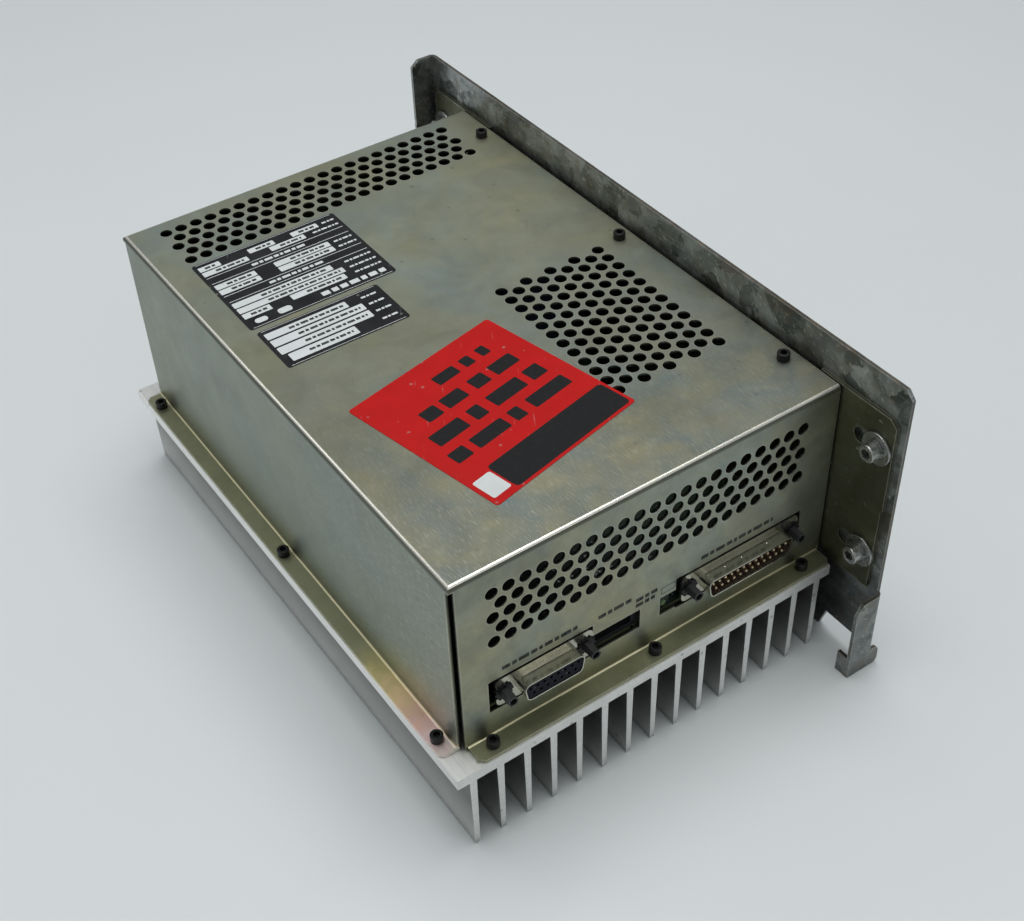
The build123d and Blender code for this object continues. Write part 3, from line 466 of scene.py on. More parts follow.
def spangle():
    """Flat crystals of hot-dip zinc."""
    def build(bench, given, result):
        wobble = bench.noise(given["Place"], 0.22, 3.0, 0.6)
        bent = bench.vector("ADD", given["Place"],
                            bench.join(bench.times(wobble, 9.0), bench.times(wobble, 7.0), 0.0))
        scale = bench.over(1.0, given["Size"])
        near, tint = bench.cells(bent, scale)
        small = bench.cells(bent, bench.times(scale, 2.7))[1]
        shade = bench.plus(bench.times(bench.split(tint)[0], 0.62),
                           bench.times(bench.split(small)[1], 0.38))
        bench.feed(result["Shade"], shade)
        bench.feed(result["Height"], near)
    return shared_effect("Spangle", (("Place", ARROW, ORIGIN), ("Size", NUMBER, 9.0)),
                         (("Shade", NUMBER), ("Height", NUMBER)), build)


class Finish:
    """One material: its shader, its bench, and the place and facing of each point of the part."""

    def __init__(self, name):
        self.material = bpy.data.materials.new(name)
        self.material.use_nodes = True
        tree = self.material.node_tree
        self.shader = next(n for n in tree.nodes if n.type == "BSDF_PRINCIPLED")
        self.bench = Bench(tree)
        found = self.bench.node("ShaderNodeTexCoord")
        self.facing = found.outputs["Normal"]
        self.place = self.bench.vector("SCALE", found.outputs["Object"], ORIGIN)
        self.place.node.inputs["Scale"].default_value = 1.0 / MM
        self.body = BLACK

    def coat(self, shade, mask, share=1.0):
        """Lays a colour over the body where the mask is. share is how much of it covers."""
        if share != 1.0:
            mask = self.bench.times(mask, share)
        self.body = self.bench.blend(mask, self.body, shade)

    def roughen(self, least, mask, spread):
        """Makes the surface least rough, and rougher by spread where the mask is."""
        self.vary("Roughness", self.bench.plus(least, self.bench.times(mask, spread)))

    def done(self):
        """Joins the body colour to the shader, and returns the material."""
        self.vary("Base Color", self.body)
        return self.material

    def plain(self, **values):
        """Sets values that are the same all over the surface."""
        for name, value in values.items():
            self.shader.inputs[name.replace("_", " ")].default_value = value

    def vary(self, name, value):
        self.bench.feed(self.shader.inputs[name], value)

    def bumps(self, height, depth, strength=1.0):
        """Raises the surface by height, over depth in metres."""
        bump = self.bench.node("ShaderNodeBump")
        bump.inputs["Strength"].default_value = strength
        bump.inputs["Distance"].default_value = depth
        self.bench.feed(bump.inputs["Height"], height)
        self.bench.feed(self.shader.inputs["Normal"], bump.outputs[0])

    def blotch(self, size, seed, softness=0.2):
        return self.bench.use(blotches(), Place=self.place, Size=size, Seed=seed,
                              Softness=softness)["Mask"]

    def grain(self, fineness, run):
        made = self.bench.use(drawn_grain(), Place=self.place, Facing=self.facing,
                              Fineness=fineness, Run=run)
        return made["Height"], made["Strokes"]

    def edges(self, reach):
        return self.bench.use(worn_edges(), Place=self.place, Reach=reach * MM)["Mask"]

    def flecks(self, size, share):
        return self.bench.use(specks(), Place=self.place, Size=size, Share=share)["Mask"]

    def scrapes(self, rarity):
        return self.bench.use(scratches(), Place=self.place, Rarity=rarity)["Mask"]

    # Painted shade with dirt: a mask from ambient occlusion, strongest in hidden corners.
    def shade_and_grime(self, reach):
        return self.bench.use(corner_shade_and_grime(), Place=self.place, Reach=reach * MM)["Mask"]


def paint(material, *names):
    """Gives a material to every slot of these parts."""
    for name in names:
        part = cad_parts[name]
        if not part.material_slots:
            part.data.materials.append(material)
        for slot in part.material_slots:
            slot.material = material


# ---------------------------------------------------------------- finishes

def scaled(shade, amount):
    return tuple(channel * amount for channel in shade)


def lifted(shade, amount, extra=0.0):
    """A paler shade, no brighter than white."""
    return tuple(min(1.0, channel * amount + extra) for channel in shade)


def top_darkened_towards_front(finish, sheet, y, top):
    """The top darkened towards the front, where the connectors are, as painted shade against its
    brighter reflection there; cool and straw patches lie in the same part.
    """
    bench = finish.bench
    far, near = 30.0, -95.0
    # Painted shade: a dull darkening of the top towards the front.
    towards_front = bench.times(bench.span(y, far, near), top)
    finish.coat(scaled(sheet.zinc_blue, 0.34), towards_front, 0.6)
    cool = bench.times(towards_front, finish.blotch(size=24.0, seed=63.0, softness=0.16))
    finish.coat(STEEL_BLUE, cool, 0.45)
    straw = bench.times(towards_front, finish.blotch(size=17.0, seed=77.0, softness=0.16))
    finish.coat(STRAW, straw, 0.45)


def clouded_front(finish, sheet, x, z, front):
    """Dark smudges at the front's upper left, and cool and warm clouds all over it."""
    bench = finish.bench
    right, left = 10.0, -60.0
    low, high = 75.0, 112.0
    upper_left = bench.times(bench.span(x, right, left), bench.span(z, low, high))
    smudge = bench.times(front, upper_left, finish.blotch(size=15.0, seed=41.0, softness=0.2))
    finish.coat(scaled(sheet.zinc_stain_and_shade, 0.5), smudge, 0.55)
    clouds = bench.times(front, finish.blotch(size=9.0, seed=52.0, softness=0.18))
    finish.coat(scaled(sheet.zinc_blue, 0.45), clouds, 0.42)
    warm = bench.times(front, finish.blotch(size=13.0, seed=88.0, softness=0.16))
    finish.coat(WARM_GREY, warm, 0.26)


def chromated_flanges(finish, sheet, x, y, z):
    """Olive on the flanges, which runs through straw and pink towards the left one's near end."""
    bench = finish.bench
    on_flange = bench.below(z, FLANGE_TOP)
    olive = bench.blend(finish.blotch(size=9.0, seed=2.0, softness=0.3), sheet.flange_olive,
                        scaled(sheet.flange_olive, 0.75))
    finish.coat(olive, on_flange, 0.85)
    tint_start, tint_full, tint_end = -50.0, -66.0, -117.0
    ragged = bench.span(bench.noise(finish.place, 0.25, 3.0), 0.3, 0.7, -0.07, 0.07)
    along = bench.plus(bench.span(y, tint_start - 2.0, tint_end), ragged)
    tints = bench.ramp(along, ((0.0, sheet.flange_olive), *CHROMATE_TINTS))
    left_flange = bench.times(on_flange, bench.below(x, WALL_LEFT + 0.6))
    finish.coat(tints, bench.times(left_flange, bench.span(y, tint_start, tint_full)))


def cover_zinc(sheet):
    """Passivated zinc on folded sheet: green-grey with blue and straw patches, painted glints, and
    painted highlights on the bends.
    """
    finish = Finish("Passivated zinc, cover")
    bench = finish.bench
    x, y, z = bench.split(finish.place)
    sideways, lengthways, up = bench.split(finish.facing)
    front = bench.below(lengthways, -0.7)
    left_wall = bench.below(sideways, -0.7)
    top = bench.above(up, 0.9)

    finish.body = sheet.zinc_grey
    finish.coat(sheet.zinc_blue, finish.blotch(size=80.0, seed=3.1, softness=0.3))
    # Painted shade: the left wall darkened to 72% of its colour, against the light of the side
    # softbox.
    finish.coat(BLACK, left_wall, 0.28)
    warm = bench.times(finish.blotch(size=42.0, seed=11.7, softness=0.2),
                       bench.between(left_wall, 0.7, 0.15))
    finish.coat(sheet.zinc_straw, warm)
    # Straw at the near left of the top; its darker shade is partly painted shade against the rim
    # softbox's reflection there.
    far, near, middle, left = 90.0, -60.0, 0.0, -70.0
    near_left = bench.times(bench.span(y, far, near), bench.span(x, middle, left), top)
    finish.coat(scaled(sheet.zinc_straw, 0.64), near_left, 0.75)
    top_darkened_towards_front(finish, sheet, y, top)

    height, strokes = finish.grain(fineness=3.6, run=4.0)
    rounded = bench.times(bench.above(z, BEND_START), bench.below(up, 0.985))
    worn_far, worn_near = 10.0, -95.0
    # Painted glints: pale strokes, densest towards the front of the top, with less roughness.
    glints = bench.times(strokes, bench.span(y, worn_far, worn_near, 0.05, 0.42),
                         bench.between(front, 1.0, 0.3), bench.minus(1.0, rounded))
    finish.coat(sheet.worn_zinc_and_highlight, glints)
    finish.coat(scaled(sheet.zinc_stain_and_shade, 1.5), finish.blotch(size=7.0, seed=5.3, softness=0.26),
                0.12)
    stain = bench.math("POWER", finish.blotch(size=26.0, seed=21.0, softness=0.16), 2.5)
    finish.coat(sheet.zinc_stain_and_shade, stain, 0.16)
    clouded_front(finish, sheet, x, z, front)
    finish.coat(sheet.zinc_stain_and_shade, finish.flecks(size=3.4, share=0.05), 0.5)
    finish.coat(sheet.zinc_stain_and_shade, finish.scrapes(rarity=0.71), 0.35)
    chromated_flanges(finish, sheet, x, y, z)

    # Painted shade with dirt from ambient occlusion, faint just above the flanges and fuller higher
    # up.
    low_down = bench.span(z, FLANGE_TOP + 0.1, FLANGE_TOP + 4.1, 0.08, 0.62)
    finish.coat(scaled(sheet.zinc_stain_and_shade, 0.35), bench.times(finish.shade_and_grime(reach=5.0), low_down))
    root = bench.times(bench.below(z, ROOT_HIGH), bench.above(z, ROOT_LOW))
    finish.coat(PALE_STRAW, root, 0.75)
    worn = finish.edges(reach=0.7)
    finish.coat(sheet.worn_zinc_and_highlight, worn, 0.6)
    # Painted highlight: a pale line along the rounded bends at the top.
    bend = bench.times(rounded, bench.span(up, 0.62, 0.74))
    finish.coat(scaled(sheet.worn_zinc_and_highlight, 0.88), bend)
    # Painted shade: the lower part of each rounded bend, below the highlight, darkened.
    turned_down = bench.times(bench.above(up, 0.02), bench.below(up, 0.68))
    finish.coat(scaled(sheet.zinc_stain_and_shade, 0.7), turned_down, 0.7)
    depth = bench.least(bench.minus(x, WALL_LEFT), bench.minus(y, WALL_FRONT),
                        bench.minus(WALL_BACK, y), bench.minus(COVER_TOP, z))
    skin, inside = 0.35, 0.9
    finish.coat(SHADOW, bench.span(depth, skin, inside, 0.0, 0.88))

    rough = bench.plus(0.36, bench.times(finish.blotch(size=14.0, seed=8.0), 0.1))
    rough = bench.minus(rough, bench.times(bench.math("MAXIMUM", worn, bend), 0.14))
    finish.vary("Roughness", bench.minus(rough, bench.times(glints, 0.3)))
    finish.plain(Metallic=0.92)
    relief = bench.plus(height, bench.times(finish.blotch(size=30.0, seed=4.0), 0.5))
    finish.bumps(bench.between(rounded, relief, 0.5), 0.020 * MM, 0.55)
    return finish.done()


def plate_zinc(sheet):
    """Olive chromate on the side plate, darkened as painted shade, with rubbed edges."""
    finish = Finish("Passivated zinc, side plate")
    bench = finish.bench
    # Painted shade: the olive is kept far darker than the flanges' olive.
    finish.body = sheet.olive
    finish.coat(scaled(sheet.olive, 1.35), finish.blotch(size=30.0, seed=6.0, softness=0.2))
    finish.coat(scaled(sheet.zinc_grey, 0.6), finish.blotch(size=11.0, seed=14.0, softness=0.15),
                0.25)
    height, strokes = finish.grain(fineness=2.2, run=10.0)
    finish.coat(sheet.zinc_straw, strokes, 0.16)
    finish.coat(sheet.zinc_stain_and_shade, finish.flecks(size=4.0, share=0.12), 0.6)
    finish.coat(sheet.worn_zinc_and_highlight, finish.scrapes(rarity=0.69), 0.4)
    # Painted shade with dirt from ambient occlusion, reaching 20 mm.
    finish.coat(scaled(sheet.zinc_stain_and_shade, 0.25), finish.shade_and_grime(reach=20.0), 0.6)
    worn = finish.edges(reach=0.6)
    finish.coat(sheet.worn_zinc_and_highlight, worn, 0.9)
    finish.vary("Roughness", bench.minus(0.42, bench.times(worn, 0.15)))
    finish.plain(Metallic=0.88)
    finish.bumps(height, 0.016 * MM, 0.5)
    return finish.done()


def bracket_zinc(sheet):
    """Hot-dip zinc with crystals, smears and browned cut edges."""
    finish = Finish("Galvanised steel")
    bench = finish.bench
    y, z = bench.split(finish.place)[1:]
    crystals = bench.use(spangle(), Place=finish.place, Size=11.0)
    shade = bench.ramp(crystals["Shade"],
                       ((0.15, sheet.spangle_dark), (0.55, scaled(sheet.spangle_pale, 0.72)),
                        (0.9, sheet.spangle_pale)))
    smear = bench.times(finish.blotch(size=22.0, seed=9.0, softness=0.14), 0.5)
    finish.body = shade
    finish.coat(scaled(sheet.spangle_dark, 0.9), smear)
    height, strokes = finish.grain(fineness=1.2, run=16.0)
    finish.coat(sheet.spangle_pale, strokes, 0.35)
    finish.coat(sheet.worn_zinc_and_highlight, finish.scrapes(rarity=0.64), 0.65)
    lengthways, up = bench.split(finish.facing)[1:]
    near_half = bench.below(y, 0.0)
    leg_top, leg_middle, leg_foot = 62.0, 38.5, 34.0
    level = bench.above(bench.size(up), 0.85)
    endways = bench.times(bench.below(lengthways, -0.85), bench.above(z, leg_middle), near_half)
    cut = bench.math("MAXIMUM", level, endways)
    finish.coat(scaled(sheet.sheared, 0.55), cut, 0.8)
    low_down = bench.times(bench.span(z, leg_top, leg_foot), near_half)
    finish.coat(scaled(sheet.spangle_dark, 0.4), low_down, 0.38)
    rust = bench.math("POWER", finish.blotch(size=8.0, seed=31.0, softness=0.1), 3.0)
    finish.coat(RUST, rust, 0.35)
    # Painted shade with dirt in the bracket's hidden corners, from ambient occlusion.
    finish.coat(scaled(GRIME_AND_SHADE, 0.8), finish.shade_and_grime(reach=24.0), 0.65)
    worn = finish.edges(reach=0.5)
    finish.coat(sheet.worn_zinc_and_highlight, worn, 0.6)
    finish.vary("Roughness", bench.span(crystals["Shade"], 0.1, 0.9, 0.32, 0.50))
    finish.plain(Metallic=0.86)
    relief = bench.plus(bench.times(crystals["Height"], 0.7), height)
    finish.bumps(relief, 0.03 * MM, 0.5)
    return finish.done()


def sink_aluminium(metal):
    """Extruded aluminium: die lines along the fins, saw marks and knocks on the cut ends, painted
    shade between the fins and painted light on the outer side.
    """
    finish = Finish("Extruded aluminium")
    bench = finish.bench
    x, y, z = bench.split(finish.place)
    finish.body = metal.aluminium
    finish.coat(metal.tarnish, finish.blotch(size=34.0, seed=13.0, softness=0.2), 0.35)
    finish.coat(metal.tarnish, finish.blotch(size=6.0, seed=2.4, softness=0.2), 0.18)
    die_lines = bench.noise(bench.join(bench.times(x, 1.4), bench.times(y, 0.012),
                                       bench.times(z, 1.6)), 1.0, 3.0, 0.6)
    finish.coat(scaled(metal.tarnish, 0.8), bench.span(die_lines, 0.5, 0.75, 0.0, 0.3))
    sideways, lengthways = bench.split(finish.facing)[:2]
    cut_end = bench.above(bench.size(lengthways), 0.8)
    saw = bench.noise(bench.join(bench.times(x, 0.1), 0.0, bench.times(z, 2.8)), 1.0, 2.0, 0.6)
    finish.coat(scaled(metal.tarnish, 0.9),
                bench.times(cut_end, bench.span(saw, 0.45, 0.75, 0.0, 0.45)))
    finish.coat(scaled(metal.tarnish, 0.35), finish.flecks(size=3.0, share=0.1), 0.5)
    finish.coat(scaled(metal.aluminium, 1.15), finish.scrapes(rarity=0.7), 0.35)
    outer_side = bench.below(x, sink_low.x / MM + 0.5)
    # Painted shade: the fin faces between the fins darkened, more towards their roots.
    between_fins = bench.times(bench.above(bench.size(sideways), 0.7), bench.minus(1.0, outer_side))
    fin_tip, fin_root = 0.0, 24.0
    finish.coat(GRIME_AND_SHADE, bench.times(between_fins, bench.span(z, fin_tip, fin_root, 0.25, 0.8)))
    # Painted light: the outer side brightened halfway to near white.
    finish.coat((0.97, 0.975, 0.96), outer_side, 0.5)
    dull_from, dull_to = -75.0, -123.0
    finish.coat(scaled(metal.tarnish, 0.5),
                bench.times(outer_side, bench.span(y, dull_from, dull_to, 0.0, 0.3)))
    # Painted shade with dirt in the heatsink's hidden corners, lighter on the outer side.
    finish.coat(GRIME_AND_SHADE, bench.times(finish.shade_and_grime(reach=8.0), bench.between(outer_side, 0.9, 0.25)))
    finish.coat((0.95, 0.95, 0.94), finish.edges(reach=0.5), 0.6)
    finish.roughen(0.44, cut_end, 0.1)
    finish.vary("Metallic", bench.between(outer_side, 0.80, 0.15))
    relief = bench.between(cut_end, die_lines, saw)
    finish.bumps(relief, 0.03 * MM, 0.45)
    return finish.done()


def turned_metal(name, shade, roughness, worn_shade, metallic=0.9, shade_and_grime_share=0.5, relief=0.012):
    """Small machined or stamped metal parts: fine marks, rubbed edges, and painted shade with dirt
    in the corners.
    """
    finish = Finish(name)
    bench = finish.bench
    finish.body = shade
    finish.coat(scaled(shade, 0.62), finish.blotch(size=3.5, seed=7.7, softness=0.2), 0.35)
    fine = bench.noise(finish.place, 2.8, 3.0, 0.6)
    finish.coat(scaled(shade, 0.45), bench.span(fine, 0.5, 0.8, 0.0, 0.25))
    finish.coat(scaled(shade, 0.3), finish.flecks(size=1.1, share=0.12), 0.4)
    # Painted shade with dirt in the corners, from ambient occlusion.
    finish.coat(scaled(shade, 0.12), bench.times(finish.shade_and_grime(reach=2.0), shade_and_grime_share))
    worn = finish.edges(reach=0.16)
    finish.coat(worn_shade, worn, 0.55)
    finish.roughen(roughness, finish.blotch(size=2.2, seed=3.0), 0.12)
    finish.plain(Metallic=metallic)
    finish.bumps(fine, relief * MM, 0.4)
    return finish.done()


def moulded_plastic(name, shade, roughness=0.46, print_lines=0.0, gloss=0.35):
    """Moulded plastic: a fine spark-eroded grain, flow marks and slightly rubbed edges."""
    finish = Finish(name)
    bench = finish.bench
    finish.body = shade
    finish.coat(scaled(shade, 1.45), finish.blotch(size=9.0, seed=17.0, softness=0.2), 0.3)
    texture = bench.noise(finish.place, 4.0, 2.0, 0.6)
    finish.coat((0.3, 0.3, 0.29), finish.flecks(size=1.6, share=0.06), 0.4)
    # Painted shade with dirt in the corners, from ambient occlusion.
    finish.coat(scaled(shade, 0.3), finish.shade_and_grime(reach=2.0), 0.4)
    if print_lines:
        x, y = bench.split(finish.place)[:2]
        rows = bench.math("PINGPONG", bench.plus(y, x), print_lines)
        finish.coat(scaled(shade, 2.6),
                    bench.span(rows, 0.12 * print_lines, 0.04 * print_lines, 0.0, 0.5))
    worn = bench.times(finish.edges(reach=0.2), 0.35)
    finish.coat(lifted(shade, 2.0, 0.05), worn)
    finish.roughen(roughness, finish.blotch(size=5.0, seed=9.0), 0.1)
    finish.plain(Specular_IOR_Level=gloss)
    finish.bumps(texture, 0.02 * MM, 0.35)
    return finish.done()


# The pattern of copper under a board's mask.
TRACES = {"Scale": 0.35, "Mortar Size": 0.09, "Brick Width": 2.4, "Row Height": 0.55}


def solder_mask(plastic, metal):
    """Circuit board: traces under the mask, plated vias and a pale laminate weave on the edges."""
    finish = Finish("Circuit board")
    bench = finish.bench
    x, y = bench.split(finish.place)[:2]
    weave = bench.node("ShaderNodeTexBrick")
    bench.feed(weave.inputs["Vector"], bench.vector("ADD", finish.place, bench.join(
        bench.noise(finish.place, 0.05), bench.noise(finish.place, 0.07), 0.0)))
    for name, value in TRACES.items():
        weave.inputs[name].default_value = value
    traces = weave.outputs["Fac"]
    # Painted shade: the board colour is darkened so the board looks dark through the vents.
    finish.body = scaled(plastic.board, 1.9)
    finish.coat(plastic.board, traces)
    near = bench.cells(bench.join(x, y, 0.0), 0.22)[0]
    ring = bench.span(near, 0.20, 0.15)
    hole = bench.span(near, 0.09, 0.06)
    finish.coat(metal.bright_zinc, ring)
    finish.coat((0.01, 0.01, 0.01), hole)
    rim = bench.below(bench.size(bench.split(finish.facing)[2]), 0.5)
    finish.coat((0.11, 0.12, 0.06), rim)
    finish.coat((0.2, 0.2, 0.17), finish.blotch(size=18.0, seed=1.0), 0.2)
    finish.vary("Roughness", bench.between(ring, 0.32, 0.22))
    finish.vary("Metallic", bench.math("SUBTRACT", ring, hole, clamp=True))
    finish.bumps(bench.plus(traces, ring), 0.03 * MM, 0.5)
    return finish.done()


def insulating_film(plastic):
    """Grey insulating film with a faint woven backing and dull creases."""
    finish = Finish("Insulating film")
    bench = finish.bench
    wave = bench.node("ShaderNodeTexWave", wave_type="BANDS", bands_direction="DIAGONAL")
    bench.feed(wave.inputs["Vector"], finish.place)
    wave.inputs["Scale"].default_value = 0.9
    wave.inputs["Distortion"].default_value = 0.6
    finish.body = plastic.film
    finish.coat(scaled(plastic.film, 0.75), wave.outputs["Fac"], 0.25)
    finish.coat(scaled(plastic.film, 0.6), finish.blotch(size=16.0, seed=5.0), 0.3)
    finish.roughen(0.5, finish.blotch(size=4.0, seed=2.0), 0.15)
    finish.bumps(wave.outputs["Fac"], 0.02 * MM, 0.4)
    return finish.done()


def can_sleeve(plastic, metal):
    """Shrunk sleeve with a pale polarity stripe, and a bare scored lid, darkened as painted shade.
    """
    finish = Finish("Capacitor sleeve")
    bench = finish.bench
    sideways, up = bench.split(finish.facing)[::2]
    stripe = bench.times(bench.above(sideways, 0.93), bench.below(up, 0.3))
    finish.body = plastic.sleeve
    finish.coat(scaled(plastic.sleeve, 1.8), finish.blotch(size=7.0, seed=4.0), 0.4)
    finish.coat((0.5, 0.52, 0.54), stripe)
    lid = bench.above(up, 0.8)
    scored = bench.noise(finish.place, 1.4, 3.0, 0.6)
    # Painted shade: the metal lid darkened well below bare aluminium.
    metal_lid = bench.blend(bench.span(scored, 0.4, 0.7), scaled(metal.tarnish, 0.35),
                            scaled(metal.tarnish, 0.2))
    finish.coat(metal_lid, lid)
    finish.vary("Metallic", bench.times(lid, 0.9))
    finish.roughen(0.3, finish.blotch(size=3.0, seed=6.0), 0.14)
    finish.bumps(scored, 0.02 * MM, 0.35)
    return finish.done()


def wound_material(name, shade, turn, shine):
    """Wound wire or tape: ridges turn by turn, with darker gaps."""
    finish = Finish(name)
    bench = finish.bench
    ridge = bench.math("PINGPONG", bench.split(finish.place)[2], turn)
    gap = bench.span(ridge, 0.0, 0.3 * turn, 0.6, 0.0)
    finish.body = shade
    finish.coat(scaled(shade, 0.65), finish.blotch(size=5.0, seed=6.0), 0.4)
    finish.coat(scaled(shade, 0.25), gap)
    # Painted shade with dirt in hidden corners, from ambient occlusion.
    finish.coat(scaled(shade, 0.2), finish.shade_and_grime(reach=2.0), 0.5)
    finish.roughen(0.34, finish.blotch(size=2.0, seed=2.0), 0.15)
    finish.plain(Metallic=shine)
    finish.bumps(ridge, 0.05 * MM, 0.5)
    return finish.done()


def fired_body(name, shade, roughness):
    """Sintered or fired bodies: a pitted matt skin with chipped edges."""
    finish = Finish(name)
    bench = finish.bench
    grit = bench.noise(finish.place, 3.2, 4.0, 0.7)
    finish.body = shade
    finish.coat(scaled(shade, 1.25), bench.span(grit, 0.35, 0.7))
    finish.coat(scaled(shade, 0.5), finish.flecks(size=1.3, share=0.15), 0.5)
    finish.coat(lifted(shade, 1.8), finish.edges(reach=0.3), 0.4)
    finish.roughen(roughness, grit, 0.12)
    finish.bumps(grit, 0.03 * MM, 0.5)
    return finish.done()


def flat_cable(plastic):
    """Ribbon cable: ten ridges side by side, the first one red."""
    finish = Finish("Ribbon cable")
    bench = finish.bench
    x = bench.split(finish.place)[0]
    low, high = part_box("link_ribbon")
    pitch = (high.x - low.x) / MM / 20
    ridge = bench.math("PINGPONG", bench.minus(x, low.x / MM), pitch)
    first = bench.below(x, low.x / MM + 2 * pitch)
    finish.body = plastic.ribbon
    finish.coat(scaled(plastic.ribbon, 0.4), bench.span(ridge, 0.0, 0.4 * pitch, 0.7, 0.0))
    finish.coat((0.45, 0.03, 0.03), first)
    finish.coat(scaled(plastic.ribbon, 0.6), finish.blotch(size=6.0, seed=3.0), 0.25)
    finish.roughen(0.42, finish.blotch(size=3.0, seed=1.0), 0.12)
    finish.bumps(ridge, 0.15 * MM, 0.6)
    return finish.done()


def lamp_glass(plastic):
    """Diffused lamp lenses with a cloudy body."""
    finish = Finish("Lamp lens")
    bench = finish.bench
    cloud = finish.blotch(size=1.2, seed=2.0, softness=0.25)
    finish.body = plastic.lens
    finish.coat(scaled(plastic.lens, 0.55), cloud)
    finish.roughen(0.16, cloud, 0.12)
    finish.plain(Transmission_Weight=0.35, IOR=1.5)
    finish.bumps(bench.noise(finish.place, 3.0), 0.01 * MM, 0.3)
    return finish.done()


def printed_film(name, shade, fade):
    """Printed polyester: even ink with faint scuffs, a soft sheen and rubbed edges."""
    finish = Finish(name)
    bench = finish.bench
    finish.body = shade
    finish.coat(fade, finish.blotch(size=13.0, seed=19.0, softness=0.2), 0.45)
    finish.coat(lifted(fade, 0.5, 0.3), finish.scrapes(rarity=0.7), 0.3)
    finish.coat(DUST, finish.flecks(size=2.3, share=0.05), 0.5)
    screen = bench.noise(finish.place, 5.0, 2.0, 0.5)
    finish.roughen(0.36, finish.blotch(size=8.0, seed=3.0), 0.14)
    finish.plain(Specular_IOR_Level=0.16)
    finish.bumps(screen, 0.01 * MM, 0.35)
    return finish.done()


def worn_ink(name, shade, gaps):
    """Screen-printed ink that has rubbed thin in places."""
    finish = Finish(name)
    bench = finish.bench
    thin = bench.times(finish.blotch(size=1.6, seed=12.0, softness=0.18), gaps)
    finish.body = shade
    finish.coat((0.22, 0.23, 0.20), thin)
    finish.roughen(0.58, thin, 0.2)
    finish.plain(Specular_IOR_Level=0.16)
    finish.bumps(bench.noise(finish.place, 6.0), 0.01 * MM, 0.3)
    return finish.done()


# ---------------------------------------------------------------- printed shapes

def rounded_patch(mesh, middle, across, upward, size, corner, depth):
    """Adds a thin patch with rounded corners to mesh. across and upward are unit vectors."""
    outward = across.cross(upward)
    corner = min(corner, 0.45 * size[0], 0.45 * size[1])
    rim = []
    for turn, (sign_x, sign_y) in enumerate(((1, 1), (-1, 1), (-1, -1), (1, -1))):
        hub = Vector((sign_x * (size[0] / 2 - corner), sign_y * (size[1] / 2 - corner)))
        for step in range(4):
            angle = math.radians(90 * turn + 30 * step)
            rim.append(hub + corner * Vector((math.cos(angle), math.sin(angle))))
    lower = [mesh.verts.new(middle + across * p.x + upward * p.y) for p in rim]
    upper = [mesh.verts.new(v.co + outward * depth) for v in lower]
    mesh.faces.new(upper)
    mesh.faces.new(lower[::-1])
    for here in range(len(rim)):
        there = (here + 1) % len(rim)
        mesh.faces.new((lower[here], lower[there], upper[there], upper[here]))


def add_piece(name, mesh, material, body=DRIVE):
    """Makes an object from mesh that moves with a body."""
    data = bpy.data.meshes.new(name)
    bmesh.ops.recalc_face_normals(mesh, faces=mesh.faces)
    mesh.to_mesh(data)
    mesh.free()
    piece = bpy.data.objects.new(name, data)
    bpy.context.scene.collection.objects.link(piece)
    data.materials.append(material)
    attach(piece, body)
    return piece


WORDS = (2.6, 1.5, 3.4, 2.0, 1.2)       # lengths of the dashes that stand for words, in mm
SHORT_WORDS = (1.9, 1.5, 1.7, 2.2, 1.3)


class Sheet:
    """A flat surface that patches are printed on, in millimetres from its own corner."""

    def __init__(self, corner, across, upward, film):
        self.corner = corner
        self.across = across
        self.upward = upward
        self.outward = across.cross(upward)
        self.film = film

    def print_on(self, mesh, span_across, span_up, layer=0, corner=0.3):
        """Prints one patch. layer counts the printed films below it."""
        width = (span_across[1] - span_across[0]) * MM
        height = (span_up[1] - span_up[0]) * MM
        middle = (self.corner + self.across * (sum(span_across) / 2 * MM)
                  + self.upward * (sum(span_up) / 2 * MM) + self.outward * (layer * self.film))
        rounded_patch(mesh, middle, self.across, self.upward, (width, height), corner * MM,
                      self.film)

    def dashes(self, mesh, span_across, middle_up, height, layer=0, pattern=WORDS):
        """Prints a row of plain dashes in place of words."""
        here, end = span_across
        count = 0
        gap = 0.45 * height
        shortest, usual_height = 0.6, 1.4
        while here < end - shortest:
            dash = min(pattern[count % len(pattern)] * height / usual_height, end - here)
            self.print_on(mesh, (here, here + dash),
                          (middle_up - height / 2, middle_up + height / 2), layer, 0.18)
            here += dash + gap
            count += 1


# Each row of fields: its lower and upper edge, then the fields' ends across the label, in mm.
RATING_FIELDS = (
    ((6.9, 10.2), ((17.0, 40.0), (48.5, 59.8))),
    ((10.9, 14.2), ((15.5, 59.8),)),
    ((14.9, 18.2), ((18.5, 59.8),)),
    ((25.3, 28.5), ((11.5, 35.0), (43.0, 59.8))),
    ((29.1, 32.3), ((11.5, 35.0), (43.0, 59.8))),
    ((39.4, 42.4), ((16.5, 31.5), (41.0, 59.8))),
    ((43.1, 46.1), ((9.0, 20.5), (28.0, 39.0), (51.0, 59.8))),
)
RATING_RULES = (19.6, 23.9, 33.7, 38.0)
RULE_INSET, HALF_RULE = 1.4, 0.14
RATING_HEADINGS = (21.8, 35.9)
HEADING_ENDS = (19.0, 42.0)
TITLE = ((2.2, 30.0), 3.6, 2.4)         # its ends, its middle and its height
ROUND_FIELDS = (((42.5, 48.0), (2.2, 5.4)), ((52.5, 57.5), (2.2, 5.0)))
VERSION_FIELDS = (
    ((2.4, 7.0), ((19.5, 46.5),)),
    ((7.9, 12.2), ((10.5, 48.2),)),
    ((13.1, 17.2), ((10.5, 48.2),)),
    ((18.1, 21.9), ((15.0, 48.2),)),
)


